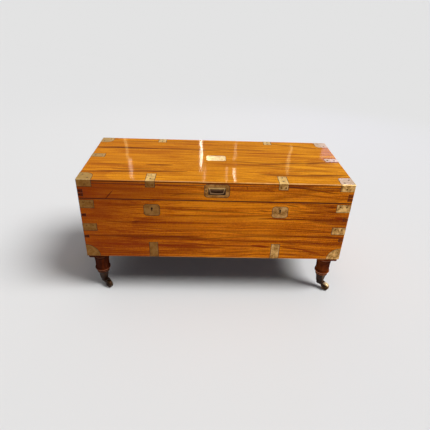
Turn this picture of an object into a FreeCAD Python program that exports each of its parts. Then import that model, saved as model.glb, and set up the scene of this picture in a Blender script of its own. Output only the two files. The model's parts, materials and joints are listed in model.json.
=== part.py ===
import FreeCAD
import Part
import Sketcher
import math
import os
import re

# A lidded camphor-wood campaign chest: dovetailed boards, flush brass mounts,
# two box locks, flush handles and turned legs on swivelling castors.
# Frame: +Z up, the front faces -Y, the origin is on the floor under the chest's centre.
os.makedirs("parts", exist_ok=True)
doc = FreeCAD.newDocument("CampaignChest")
sheet = doc.addObject("Spreadsheet::Sheet", "Sizes")

# Driving dimensions in millimetres and degrees
sizes = {
    # chest
    "caseLength": 1070,
    "caseDepth": 470,
    "caseHeight": 354,
    "legHeight": 188,
    "lidHeight": 81.5,
    "seamGap": 0.6,
    "boardThick": 20,
    "lidTopThick": 16,
    "bottomThick": 16,
    "bottomRebate": 8,
    # dovetails, measured down from the lid's top
    "pinTip": 4.2,
    "pinFlare": 2,
    "lidPinDrop": 49,
    "lidPinPitch": 16.5,
    "lidPinCount": 2,
    "casePinDrop": 105.7,
    "casePinPitch": 50,
    "casePinCount": 5,
    # brass let into the wood
    "brassThick": 2,
    "cornerArm": 57,
    "upperStrapDrop": 88,
    "upperStrapTall": 35.5,
    "middleStrapDrop": 194,
    "middleStrapTall": 34,
    "cornerRadius": 57,
    "edgeStrapWide": 35.5,
    "edgeStrapFromEnd": 281,
    "edgeStrapTall": 74,
    "edgeStrapUnder": 30,
    "lidBracketLong": 57,
    "lidBracketDeep": 63,
    "lidBracketTall": 30,
    "lidRoundLeft": 34,
    "lidRoundRight": 18,
    "lidStrapWide": 36,
    "lidFrontStrapFromEnd": 279,
    "lidFrontStrapTop": 65,
    "lidBackStrapFromEnd": 285.5,
    "lidBackStrapTop": 46,
    "lidEndStrapPlace": 11,
    "lidEndStrapTop": 58,
    "lidStrapDrop": 28,
    # blank plate on the lid
    "namePlateLong": 85,
    "namePlateDeep": 60,
    "namePlatePlace": 5,
    "namePlateRound": 12,
    # countersunk screws
    "screwHead": 3.7,
    "screwShank": 1.8,
    "screwHeadDeep": 1.6,
    "screwLong": 13,
    "slotWide": 0.9,
    "slotDeep": 0.7,
    "slotTurn": 47,
    # places of the screws, as shares of the brass that they hold
    "armScrewNear": 0.3,
    "armScrewFar": 0.75,
    "armScrewFront": 0.7,
    "armScrewEnd": 0.3,
    "bracketScrewNear": 0.3,
    "bracketScrewFar": 0.66,
    "bracketScrewLow": 0.24,
    "bracketScrewHigh": 0.55,
    "bracketScrewTop": 0.75,
    "bracketScrewUnder": 0.42,
    "edgeScrewLow": 0.3,
    "edgeScrewHigh": 0.8,
    "edgeScrewUnder": 0.7,
    "lidScrewNear": 0.28,
    "lidScrewFar": 0.72,
    "lidScrewSide": 0.56,
    "lidScrewDrop": 0.67,
    "strapScrewNear": 0.3,
    "strapScrewFar": 0.8,
    "strapScrewApart": 0.26,
    "leafScrewApart": 0.36,
    "leafScrewDeep": 0.55,
    # locks and escutcheons
    "lockFromEnd": 281,
    "escutcheonLong": 62.5,
    "escutcheonTall": 51,
    "escutcheonDrop": 127,
    "escutcheonRound": 12,
    "keyholeDrop": 119.5,
    "keyholeRadius": 3.5,
    "keyholeSlot": 3.4,
    "keyholeTall": 11.5,
    "keyPostRadius": 1.4,
    "lockLong": 72,
    "lockTall": 60,
    "lockDeep": 14,
    "lockWall": 1.5,
    "flangeLong": 98,
    "flangeDeep": 15,
    "flangeThick": 2,
    "flangeScrewPlace": 43,
    "staplePitch": 25,
    "stapleThick": 3,
    "stapleWide": 9,
    "stapleDrop": 19.4,
    "stapleWindow": 6.4,
    "slotPlay": 1,
    "windowDrop": 11,
    "windowTall": 7,
    "boltTravel": 8,
    "boltLong": 50,
    "boltTall": 6,
    "boltDrop": 21,
    "fingerThick": 5,
    "fingerTall": 5,
    "fingerLong": 7.5,
    "fingerGap": 1,
    "boltPlay": 0.3,
    "ledgeThick": 3,
    "ledgeInner": 16,
    "notchWide": 7,
    "notchDeep": 3,
    # stop hinges
    "hingeFromEnd": 195,
    "hingeLong": 76,
    "knuckleRadius": 4,
    "knuckleGap": 0.3,
    "knuckleCount": 5,
    "hingePinRadius": 2,
    "runningFit": 0.05,
    "leafThick": 2,
    "leafDeep": 18,
    "leafGap": 0.3,
    "lugRadius": 7.5,
    "lugBack": 95,
    "lidOpenAngle": 97,
    "stopPlay": 0.5,
    # flush handle on the lid's front
    "liftPlateLong": 98,
    "liftPlateTall": 56,
    "liftPlateRound": 13,
    "liftPlateDrop": 38,
    "liftRecessLong": 66,
    "liftRecessTall": 31,
    "liftRecessDeep": 13.5,
    "liftRecessDrop": 38.9,
    "liftBailThick": 4.6,
    "liftBailBar": 4,
    "liftBailReach": 24.2,
    "liftBailNarrow": 4,
    "liftScrewPlace": 42,
    # flush carrying handles at the ends
    "endPlateLong": 134,
    "endPlateTall": 80,
    "endPlateRound": 18,
    "endPlateDrop": 190,
    "endRecessLong": 94,
    "endRecessTall": 48,
    "endRecessDeep": 15,
    "endBailThick": 8,
    "endBailBar": 8,
    "endBailReach": 40,
    "endBailNarrow": 10,
    "endScrewPlace": 57,
    # shared by the flush handles
    "handlePlateThick": 2,
    "cupWall": 2,
    "cupFloor": 1.5,
    "cupRound": 3.5,
    "bailSunk": 1.2,
    "bailSide": 1.5,
    "bailShoulder": 3,
    "bailTopGap": 1.3,
    "bailFootArc": 4,
    "bailPinRadius": 2.2,
    "bailPinInto": 1.6,
    "bailEdgeRound": 1.8,
    # blocks, turned legs
    "blockSize": 84,
    "blockInset": 4,
    "blockThick": 12,
    "blockRound": 7,
    "tenonRadius": 12,
    "tenonFit": 0.1,
    "tenonInBottom": 12,
    "collarTall": 12,
    "collarRadius": 31.5,
    "collarBulge": 7.4,
    "shaftTopRadius": 32.6,
    "shaftEndRadius": 29.6,
    "shaftEnd": 107,
    "shaftHollow": 260,
    "beadTop": 106,
    "beadTall": 12.5,
    "beadRadius": 30.2,
    "beadBulge": 10,
    "neckTopRadius": 28.8,
    "neckEndRadius": 24.8,
    # castors
    "socketTop": 82,
    "socketRimRadius": 25.6,
    "socketRimTall": 3.5,
    "socketWaist": 60,
    "socketWaistRadius": 19.6,
    "socketEndRadius": 16.6,
    "socketBottom": 36,
    "socketFloor": 3,
    "socketFootStep": 2,
    "socketFootTall": 3,
    "socketRimStep": 1.2,
    "socketHollow": 60,
    "socketWall": 1.8,
    "socketFit": 0.1,
    "swivelPinRadius": 4,
    "swivelHeadRadius": 6.5,
    "swivelHeadTall": 2.6,
    "hubRadius": 13,
    "hubTall": 10.6,
    "hubGap": 0.4,
    "trail": 31,
    "hornFoot": 8.6,
    "hornNeck": 10.8,
    "hornOverArc": 1.1,
    "hornUnderArc": 1.3,
    "wheelRadius": 17.5,
    "wheelWide": 16,
    "wheelRound": 3.5,
    "wheelHubRadius": 7,
    "wheelDish": 2.2,
    "wheelDishStep": 1,
    "wheelLip": 2,
    "wheelGap": 0.6,
    "wheelSwing": 1.6,
    "cheekThick": 4,
    "cheekRadius": 7.5,
    "cheekWrap": 60,
    "axleRadius": 2.5,
    "axleHeadRadius": 4.2,
    "axleHeadThick": 1.5,
    "axleHeadCrown": 1.2,
    "frontLeftTurn": -40,
    "frontRightTurn": -40,
    "backLeftTurn": 35,
    "backRightTurn": 72,
    # how far a cutting tool runs past what it cuts
    "overrun": 1,
}
for row, (alias, size) in enumerate(sizes.items(), 1):
    sheet.set("A%d" % row, alias)
    sheet.set("B%d" % row, str(size))
    sheet.setAlias("B%d" % row, alias)
doc.recompute()

nodes = []
screwSeats = {"case": [], "lid": []}

# Places worked out from the driving dimensions
lidTop = "(legHeight + caseHeight)"
seam = "(legHeight + caseHeight - lidHeight)"
wallTop = "(legHeight + caseHeight - lidHeight - seamGap / 2)"
railBottom = "(legHeight + caseHeight - lidHeight + seamGap / 2)"
topBoardUnder = "(legHeight + caseHeight - lidTopThick)"
endFace = "(caseLength / 2)"
longFace = "(caseDepth / 2)"
endInner = "(caseLength / 2 - boardThick)"
longInner = "(caseDepth / 2 - boardThick)"
legX = "(caseLength / 2 - blockInset - blockSize / 2)"
legY = "(caseDepth / 2 - blockInset - blockSize / 2)"
cornerSigns = [(-1, -1), (1, -1), (-1, 1), (1, 1)]
cornerNames = {
    (-1, -1): "front_left",
    (1, -1): "front_right",
    (-1, 1): "back_left",
    (1, 1): "back_right",
}


def linked(text):
    def alias(match):
        return "Sizes." + match.group(0) if match.group(0) in sizes else match.group(0)

    return re.sub(r"[A-Za-z]\w*", alias, str(text))


def number(text):
    return float(sheet.evalExpression(linked(text)))


def bind(thing, **settings):
    for setting, text in settings.items():
        thing.setExpression(setting.replace("_", "."), linked(text))
    return thing


def place(thing, x, y, z, rotation=None):
    if rotation:
        thing.Placement = FreeCAD.Placement(FreeCAD.Vector(), rotation)
    return bind(thing, Placement_Base_x=x, Placement_Base_y=y, Placement_Base_z=z)


def turned(axis, angle):
    return FreeCAD.Rotation(FreeCAD.Vector(*axis), angle)


def keep(thing, label):
    thing.Label = label
    nodes.append(thing)
    return thing


def sided(side, near, far):
    if side > 0:
        return (near, far)
    return ("-(%s)" % far, "-(%s)" % near)


def around(middle, wide):
    return ("%s - (%s) / 2" % (middle, wide), "%s + (%s) / 2" % (middle, wide))


def box(name, xSpan, ySpan, zSpan):
    solid = doc.addObject("Part::Box", name)
    lengths = ["(%s) - (%s)" % (high, low) for low, high in (xSpan, ySpan, zSpan)]
    bind(solid, Length=lengths[0], Width=lengths[1], Height=lengths[2])
    return place(solid, xSpan[0], ySpan[0], zSpan[0])


def cylinder(name, radius, tall, x, y, z, rotation=None):
    solid = doc.addObject("Part::Cylinder", name)
    bind(solid, Radius=radius, Height=tall)
    return place(solid, x, y, z, rotation)


def fuse(name, shapes):
    whole = doc.addObject("Part::MultiFuse", name)
    whole.Shapes = shapes
    return whole


def group(name, shapes):
    whole = doc.addObject("Part::Compound", name)
    whole.Links = shapes
    return whole


def cut(name, base, tools):
    tool = tools[0] if len(tools) == 1 else fuse(name + "_cutters", tools)
    result = doc.addObject("Part::Cut", name)
    result.Base = base
    result.Tool = tool
    return result


def newBody(name):
    return doc.addObject("PartDesign::Body", name)


def newSketch(body, plane, name, offset=None):
    support = [feature for feature in body.Origin.OriginFeatures if feature.Role == plane][0]
    sketch = body.newObject("Sketcher::SketchObject", name)
    sketch.AttachmentSupport = (support, [""])
    sketch.MapMode = "FlatFace"
    if offset:
        sketch.setExpression("AttachmentOffset.Base.z", linked(offset))
    return sketch


def arcThrough(start, end, radius, side, longWay):
    chord = end - start
    normal = FreeCAD.Vector(-chord.y, chord.x, 0).normalize()
    rise = math.sqrt(max(radius ** 2 - (chord.Length / 2) ** 2, 0))
    if longWay:
        rise = -rise
    centre = (start + end) * 0.5 - normal * side * rise
    circle = Part.Circle(centre, FreeCAD.Vector(0, 0, 1), radius)
    first, last = (end, start) if side > 0 else (start, end)
    return Part.ArcOfCircle(circle, circle.parameter(first), circle.parameter(last))


# A closed outline. A point is (x, y), or (x, y, radius, side) where an arc starts there.
# A fifth entry sends the arc the long way round.
def outline(sketch, points):
    corners = [FreeCAD.Vector(number(point[0]), number(point[1]), 0) for point in points]
    ends = []
    for index, point in enumerate(points):
        start = corners[index]
        end = corners[(index + 1) % len(points)]
        if len(point) == 2:
            edge = sketch.addGeometry(Part.LineSegment(start, end), False)
            ends.append((edge, 1, 2))
            continue
        radius, side = point[2], point[3]
        arc = arcThrough(start, end, number(radius), side, len(point) > 4)
        edge = sketch.addGeometry(arc, False)
        ends.append((edge, 2, 1) if side > 0 else (edge, 1, 2))
        limit = sketch.addConstraint(Sketcher.Constraint("Radius", edge, number(radius)))
        sketch.setExpression("Constraints[%d]" % limit, linked(radius))
    for index, point in enumerate(points):
        edge, first, last = ends[index]
        after = ends[(index + 1) % len(points)]
        sketch.addConstraint(Sketcher.Constraint("Coincident", edge, last, after[0], after[1]))
        for kind, text in (("DistanceX", point[0]), ("DistanceY", point[1])):
            limit = sketch.addConstraint(Sketcher.Constraint(kind, -1, 1, edge, first, number(text)))
            sketch.setExpression("Constraints[%d]" % limit, linked(text))


def ring(sketch, x, y, radius):
    circle = Part.Circle(FreeCAD.Vector(number(x), number(y), 0), FreeCAD.Vector(0, 0, 1), number(radius))
    edge = sketch.addGeometry(circle, False)
    for kind, text in (("DistanceX", x), ("DistanceY", y)):
        limit = sketch.addConstraint(Sketcher.Constraint(kind, -1, 1, edge, 3, number(text)))
        sketch.setExpression("Constraints[%d]" % limit, linked(text))
    limit = sketch.addConstraint(Sketcher.Constraint("Radius", edge, number(radius)))
    sketch.setExpression("Constraints[%d]" % limit, linked(radius))


def roundedBox(halfWide, halfTall, radius, middle="0"):
    left, right = "-(%s)" % halfWide, "(%s)" % halfWide
    low, high = "(%s - (%s))" % (middle, halfTall), "(%s + %s)" % (middle, halfTall)
    return [
        ("%s + %s" % (left, radius), low),
        ("%s - %s" % (right, radius), low, radius, -1),
        (right, "%s + %s" % (low, radius)),
        (right, "%s - %s" % (high, radius), radius, -1),
        ("%s - %s" % (right, radius), high),
        ("%s + %s" % (left, radius), high, radius, -1),
        (left, "%s - %s" % (high, radius)),
        (left, "%s + %s" % (low, radius), radius, -1),
    ]


def pad(body, sketch, name, length, reversed=False, middle=False):
    feature = body.newObject("PartDesign::Pad", name)
    feature.Profile = sketch
    feature.Reversed = reversed
    feature.SideType = "Symmetric" if middle else "One side"
    return bind(feature, Length=length)


def pocket(body, sketch, name, length, reversed=False, middle=False):
    feature = body.newObject("PartDesign::Pocket", name)
    feature.Profile = sketch
    feature.Reversed = reversed
    feature.SideType = "Symmetric" if middle else "One side"
    return bind(feature, Length=length)


def revolved(name, profile):
    body = newBody(name)
    sketch = newSketch(body, "XZ_Plane", name + "_profile")
    outline(sketch, profile)
    turning = body.newObject("PartDesign::Revolution", name + "_turning")
    turning.Profile = sketch
    turning.ReferenceAxis = (sketch, ["V_Axis"])
    turning.Angle = 360
    return body


# Screws: each seat is a point on the face of the brass and the way in
def seat(part, x, y, z, way):
    point = FreeCAD.Vector(number(x), number(y), number(z))
    screwSeats[part].append((point, FreeCAD.Vector(*way)))


def screwBlank(point, way):
    head = number("screwHead")
    shank = number("screwShank")
    deep = number("screwHeadDeep")
    long = number("screwLong")
    cone = Part.makeCone(head, shank, deep, point, way)
    return cone.fuse(Part.makeCylinder(shank, long, point, way)).removeSplitter()


def screwSlot(point, way, index):
    wide = number("slotWide")
    long = 3 * number("screwHead")
    deep = number("slotDeep")
    slot = Part.makeBox(long, wide, 2 * deep, FreeCAD.Vector(-long / 2, -wide / 2, -deep))
    slot.rotate(FreeCAD.Vector(), FreeCAD.Vector(0, 0, 1), number("slotTurn") * index)
    upright = FreeCAD.Vector(0, 0, 1)
    slot.Placement = FreeCAD.Placement(point, FreeCAD.Rotation(upright, way)) * slot.Placement
    return slot


def screwGroup(part):
    blanks = [screwBlank(point, way) for point, way in screwSeats[part]]
    whole = doc.addObject("Part::Feature", part + "_screw_holes")
    whole.Shape = Part.makeCompound(blanks)
    slotted = []
    for index, (point, way) in enumerate(screwSeats[part]):
        slotted.append(blanks[index].cut(screwSlot(point, way, index)))
    screws = doc.addObject("Part::Feature", part + "_screws")
    screws.Shape = Part.makeCompound(slotted)
    keep(screws, part + "_screws")
    return whole


# Boards of the case and the lid, before anything is cut into them
caseHigh = ("legHeight", wallTop)
railHigh = (railBottom, topBoardUnder)
wholeLength = ("-caseLength / 2", "caseLength / 2")
wholeDepth = ("-caseDepth / 2", "caseDepth / 2")
innerDepthSpan = ("-%s" % longInner, longInner)

bottomBoard = box(
    "bottom_panel",
    ("-%s - bottomRebate" % endInner, "%s + bottomRebate" % endInner),
    ("-%s - bottomRebate" % longInner, "%s + bottomRebate" % longInner),
    ("legHeight", "legHeight + bottomThick"),
)


def dovetailPin(name, xSide, ySide, z):
    pin = doc.addObject("Part::Wedge", name)
    tip, root = "pinTip", "(pinTip + pinFlare)"
    nearHalf, farHalf = (tip, root) if xSide < 0 else (root, tip)
    bind(pin, Xmin="0", Xmax="boardThick", X2min="0", X2max="boardThick", Ymin="0", Ymax="boardThick")
    bind(pin, Zmin="-" + nearHalf, Zmax=nearHalf, Z2min="-" + farHalf, Z2max=farHalf)
    left = sided(xSide, endInner, endFace)[0]
    high = sided(ySide, longInner, longFace)[1]
    return place(pin, left, high, z, turned((0, 0, 1), -90))


def pinsFor(part, xSide, ySide, heights):
    label = "%s_pin_%s" % (part, cornerNames[(xSide, ySide)])
    return [dovetailPin("%s_%d" % (label, index), xSide, ySide, z) for index, z in enumerate(heights)]


def pinRow(part):
    count = int(number(part + "PinCount"))
    return ["%s - %sPinDrop - %d * %sPinPitch" % (lidTop, part, index, part) for index in range(count)]


casePins = {signs: pinsFor("case", *signs, pinRow("case")) for signs in cornerSigns}
lidPins = {signs: pinsFor("lid", *signs, pinRow("lid")) for signs in cornerSigns}


# Brass straps: an outer block less an inner block leaves two arms, or three at a corner
def strap(name, outer, inner):
    return cut(name, box(name + "_outer", *outer), [box(name + "_inner", *inner)])


def cornerStraps(name, drop, tall):
    straps = []
    high = "%s - %s" % (lidTop, drop)
    low = "%s - %s" % (high, tall)
    for xSide, ySide in cornerSigns:
        outer = [
            sided(xSide, "%s - cornerArm" % endFace, endFace),
            sided(ySide, "%s - cornerArm" % longFace, longFace),
            (low, high),
        ]
        inner = [
            sided(xSide, "%s - 2 * cornerArm" % endFace, "%s - brassThick" % endFace),
            sided(ySide, "%s - 2 * cornerArm" % longFace, "%s - brassThick" % longFace),
            (low + " - overrun", high + " + overrun"),
        ]
        straps.append(strap("%s_%s" % (name, cornerNames[(xSide, ySide)]), outer, inner))
        frontHeight = "%s + armScrewFront * %s" % (low, tall)
        endHeight = "%s + armScrewEnd * %s" % (low, tall)
        for reach in ("armScrewNear", "armScrewFar"):
            frontX = "%d * (%s - %s * cornerArm)" % (xSide, endFace, reach)
            endY = "%d * (%s - %s * cornerArm)" % (ySide, longFace, reach)
            seat("case", frontX, "%d * %s" % (ySide, longFace), frontHeight, (0, -ySide, 0))
            seat("case", "%d * %s" % (xSide, endFace), endY, endHeight, (-xSide, 0, 0))
    return group(name + "_blanks", straps)


upperStraps = cornerStraps("upper_corner_strap", "upperStrapDrop", "upperStrapTall")
middleStraps = cornerStraps("middle_corner_strap", "middleStrapDrop", "middleStrapTall")


def lowerBracket(xSide, ySide):
    name = "lower_bracket_" + cornerNames[(xSide, ySide)]
    reach = "cornerRadius + overrun"
    outer = [
        sided(xSide, "%s - %s" % (endFace, reach), endFace),
        sided(ySide, "%s - %s" % (longFace, reach), longFace),
        ("legHeight", "legHeight + %s" % reach),
    ]
    inner = [
        sided(xSide, "%s - 2 * (%s)" % (endFace, reach), "%s - brassThick" % endFace),
        sided(ySide, "%s - 2 * (%s)" % (longFace, reach), "%s - brassThick" % longFace),
        ("legHeight + brassThick", "legHeight + 2 * (%s)" % reach),
    ]
    plates = strap(name + "_plates", outer, inner)
    ball = bind(doc.addObject("Part::Sphere", name + "_ball"), Radius="cornerRadius")
    place(ball, "%d * %s" % (xSide, endFace), "%d * %s" % (ySide, longFace), "legHeight")
    bracket = doc.addObject("Part::Common", name)
    bracket.Base = plates
    bracket.Tool = ball
    frontX = "%d * (%s - %%s * cornerRadius)" % (xSide, endFace)
    endY = "%d * (%s - %%s * cornerRadius)" % (ySide, longFace)
    height = "legHeight + %s * cornerRadius"
    faceX = "%d * %s" % (xSide, endFace)
    faceY = "%d * %s" % (ySide, longFace)
    seat("case", frontX % "bracketScrewFar", faceY, height % "bracketScrewLow", (0, -ySide, 0))
    seat("case", frontX % "bracketScrewNear", faceY, height % "bracketScrewHigh", (0, -ySide, 0))
    seat("case", faceX, endY % "bracketScrewFar", height % "bracketScrewLow", (-xSide, 0, 0))
    seat("case", faceX, endY % "bracketScrewNear", height % "bracketScrewTop", (-xSide, 0, 0))
    seat("case", frontX % "bracketScrewUnder", endY % "bracketScrewUnder", "legHeight", (0, 0, 1))
    return bracket


lowerBrackets = group("lower_bracket_blanks", [lowerBracket(*signs) for signs in cornerSigns])


def lowerEdgeStraps():
    straps = []
    tall = ("legHeight", "legHeight + edgeStrapTall")
    above = ("legHeight + brassThick", "legHeight + edgeStrapTall + overrun")
    heights = ["legHeight + %s * edgeStrapTall" % share for share in ("edgeScrewLow", "edgeScrewHigh")]
    for ySide in (-1, 1):
        for xSide in (-1, 1):
            middle = "%d * (%s - edgeStrapFromEnd)" % (xSide, endFace)
            name = "lower_edge_strap_" + cornerNames[(xSide, ySide)]
            outerY = sided(ySide, "%s - edgeStrapUnder" % longFace, longFace)
            innerY = sided(ySide, "%s - 2 * edgeStrapUnder" % longFace, "%s - brassThick" % longFace)
            outer = [around(middle, "edgeStrapWide"), outerY, tall]
            inner = [around(middle, "edgeStrapWide + 2 * overrun"), innerY, above]
            straps.append(strap(name, outer, inner))
            for height in heights:
                seat("case", middle, "%d * %s" % (ySide, longFace), height, (0, -ySide, 0))
            under = "%d * (%s - edgeScrewUnder * edgeStrapUnder)" % (ySide, longFace)
            seat("case", middle, under, "legHeight", (0, 0, 1))
    for xSide in (-1, 1):
        outerX = sided(xSide, "%s - edgeStrapUnder" % endFace, endFace)
        innerX = sided(xSide, "%s - 2 * edgeStrapUnder" % endFace, "%s - brassThick" % endFace)
        outer = [outerX, around("lidEndStrapPlace", "edgeStrapWide"), tall]
        inner = [innerX, around("lidEndStrapPlace", "edgeStrapWide + 2 * overrun"), above]
        straps.append(strap("lower_edge_strap_end_%d" % (xSide + 1), outer, inner))
        for height in heights:
            seat("case", "%d * %s" % (xSide, endFace), "lidEndStrapPlace", height, (-xSide, 0, 0))
        under = "%d * (%s - edgeScrewUnder * edgeStrapUnder)" % (xSide, endFace)
        seat("case", under, "lidEndStrapPlace", "legHeight", (0, 0, 1))
    return group("lower_edge_strap_blanks", straps)


lowerStraps = lowerEdgeStraps()


# Lid brackets: a padded corner with its inner side hollowed out from below
def lidBracket(xSide, ySide):
    name = "lid_bracket_" + cornerNames[(xSide, ySide)]
    radius = "lidRoundLeft" if xSide < 0 else "lidRoundRight"
    turn = -1 if xSide * ySide > 0 else 1
    body = newBody(name)
    inX = "%d * lidBracketLong" % -xSide
    inY = "%d * lidBracketDeep" % -ySide
    solid = newSketch(body, "XY_Plane", name + "_top")
    outline(
        solid,
        [
            ("0", "0"),
            (inX, "0"),
            (inX, "%d * (lidBracketDeep - %s)" % (-ySide, radius), radius, turn),
            ("%d * (lidBracketLong - %s)" % (-xSide, radius), inY),
            ("0", inY),
        ],
    )
    pad(body, solid, name + "_block", "lidBracketTall", reversed=True)
    hollow = newSketch(body, "XY_Plane", name + "_inside", "-brassThick")
    outline(
        hollow,
        [
            ("%d * brassThick" % -xSide, "%d * brassThick" % -ySide),
            ("%d * (lidBracketLong + overrun)" % -xSide, "%d * brassThick" % -ySide),
            ("%d * (lidBracketLong + overrun)" % -xSide, "%d * (lidBracketDeep + overrun)" % -ySide),
            ("%d * brassThick" % -xSide, "%d * (lidBracketDeep + overrun)" % -ySide),
        ],
    )
    pocket(body, hollow, name + "_hollow", "lidBracketTall")
    place(body, "%d * %s" % (xSide, endFace), "%d * %s" % (ySide, longFace), lidTop)
    acrossX = "%d * (%s - %%s * lidBracketLong)" % (xSide, endFace)
    acrossY = "%d * (%s - %%s * lidBracketDeep)" % (ySide, longFace)
    low = "%s - lidScrewDrop * lidBracketTall" % lidTop
    seat("lid", acrossX % "lidScrewNear", acrossY % "lidScrewFar", lidTop, (0, 0, -1))
    seat("lid", acrossX % "lidScrewFar", acrossY % "lidScrewNear", lidTop, (0, 0, -1))
    seat("lid", acrossX % "lidScrewSide", "%d * %s" % (ySide, longFace), low, (0, -ySide, 0))
    seat("lid", "%d * %s" % (xSide, endFace), acrossY % "lidScrewSide", low, (-xSide, 0, 0))
    return body


lidBrackets = group("lid_bracket_blanks", [lidBracket(*signs) for signs in cornerSigns])
lidArm = ("%s - lidStrapDrop" % lidTop, lidTop)
lidArmInner = ("%s - lidStrapDrop - overrun" % lidTop, "%s - brassThick" % lidTop)
lidArmScrew = "%s - lidScrewDrop * lidStrapDrop" % lidTop


def lidLongStraps(name, ySide, fromEnd, top):
    straps = []
    for xSide in (-1, 1):
        middle = "%d * (%s - %s)" % (xSide, endFace, fromEnd)
        outerY = sided(ySide, "%s - %s" % (longFace, top), longFace)
        innerY = sided(ySide, "%s - 2 * %s" % (longFace, top), "%s - brassThick" % longFace)
        outer = [around(middle, "lidStrapWide"), outerY, lidArm]
        inner = [around(middle, "lidStrapWide + 2 * overrun"), innerY, lidArmInner]
        straps.append(strap("%s_%d" % (name, xSide + 1), outer, inner))
        for reach in ("strapScrewNear", "strapScrewFar"):
            seat("lid", middle, "%d * (%s - %s * %s)" % (ySide, longFace, reach, top), lidTop, (0, 0, -1))
        for sign in (-1, 1):
            spotX = "%s + %d * strapScrewApart * lidStrapWide" % (middle, sign)
            seat("lid", spotX, "%d * %s" % (ySide, longFace), lidArmScrew, (0, -ySide, 0))
    return group(name + "_blanks", straps)


def lidEndStraps():
    straps = []
    for xSide in (-1, 1):
        outerX = sided(xSide, "%s - lidEndStrapTop" % endFace, endFace)
        innerX = sided(xSide, "%s - 2 * lidEndStrapTop" % endFace, "%s - brassThick" % endFace)
        outer = [outerX, around("lidEndStrapPlace", "lidStrapWide"), lidArm]
        inner = [innerX, around("lidEndStrapPlace", "lidStrapWide + 2 * overrun"), lidArmInner]
        straps.append(strap("lid_end_strap_%d" % (xSide + 1), outer, inner))
        for reach in ("strapScrewNear", "strapScrewFar"):
            spotX = "%d * (%s - %s * lidEndStrapTop)" % (xSide, endFace, reach)
            seat("lid", spotX, "lidEndStrapPlace", lidTop, (0, 0, -1))
        for sign in (-1, 1):
            spotY = "lidEndStrapPlace + %d * strapScrewApart * lidStrapWide" % sign
            seat("lid", "%d * %s" % (xSide, endFace), spotY, lidArmScrew, (-xSide, 0, 0))
    return group("lid_end_strap_blanks", straps)


lidFrontStraps = lidLongStraps("lid_front_strap", -1, "lidFrontStrapFromEnd", "lidFrontStrapTop")
lidBackStraps = lidLongStraps("lid_back_strap", 1, "lidBackStrapFromEnd", "lidBackStrapTop")
lidEndStrapGroup = lidEndStraps()

namePlate = newBody("name_plate_body")
namePlateSketch = newSketch(namePlate, "XY_Plane", "name_plate_outline")
outline(namePlateSketch, roundedBox("namePlateLong / 2", "namePlateDeep / 2", "namePlateRound"))
pad(namePlate, namePlateSketch, "name_plate_pad", "brassThick", reversed=True)
place(namePlate, "0", "namePlatePlace", lidTop)
keep(namePlate, "name_plate")


# Box locks: a hollow case let into the front board, a sliding bolt and a link plate on the lid
def keyholeOutline(drop):
    half = "keyholeSlot / 2"
    join = "(%s - sqrt(keyholeRadius^2 - (%s)^2))" % (drop, half)
    foot = "(%s - keyholeTall)" % drop
    return [
        (half, join, "keyholeRadius", -1, True),
        ("-(%s)" % half, join),
        ("-(%s)" % half, foot),
        (half, foot),
    ]


lockParts = {}


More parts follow.
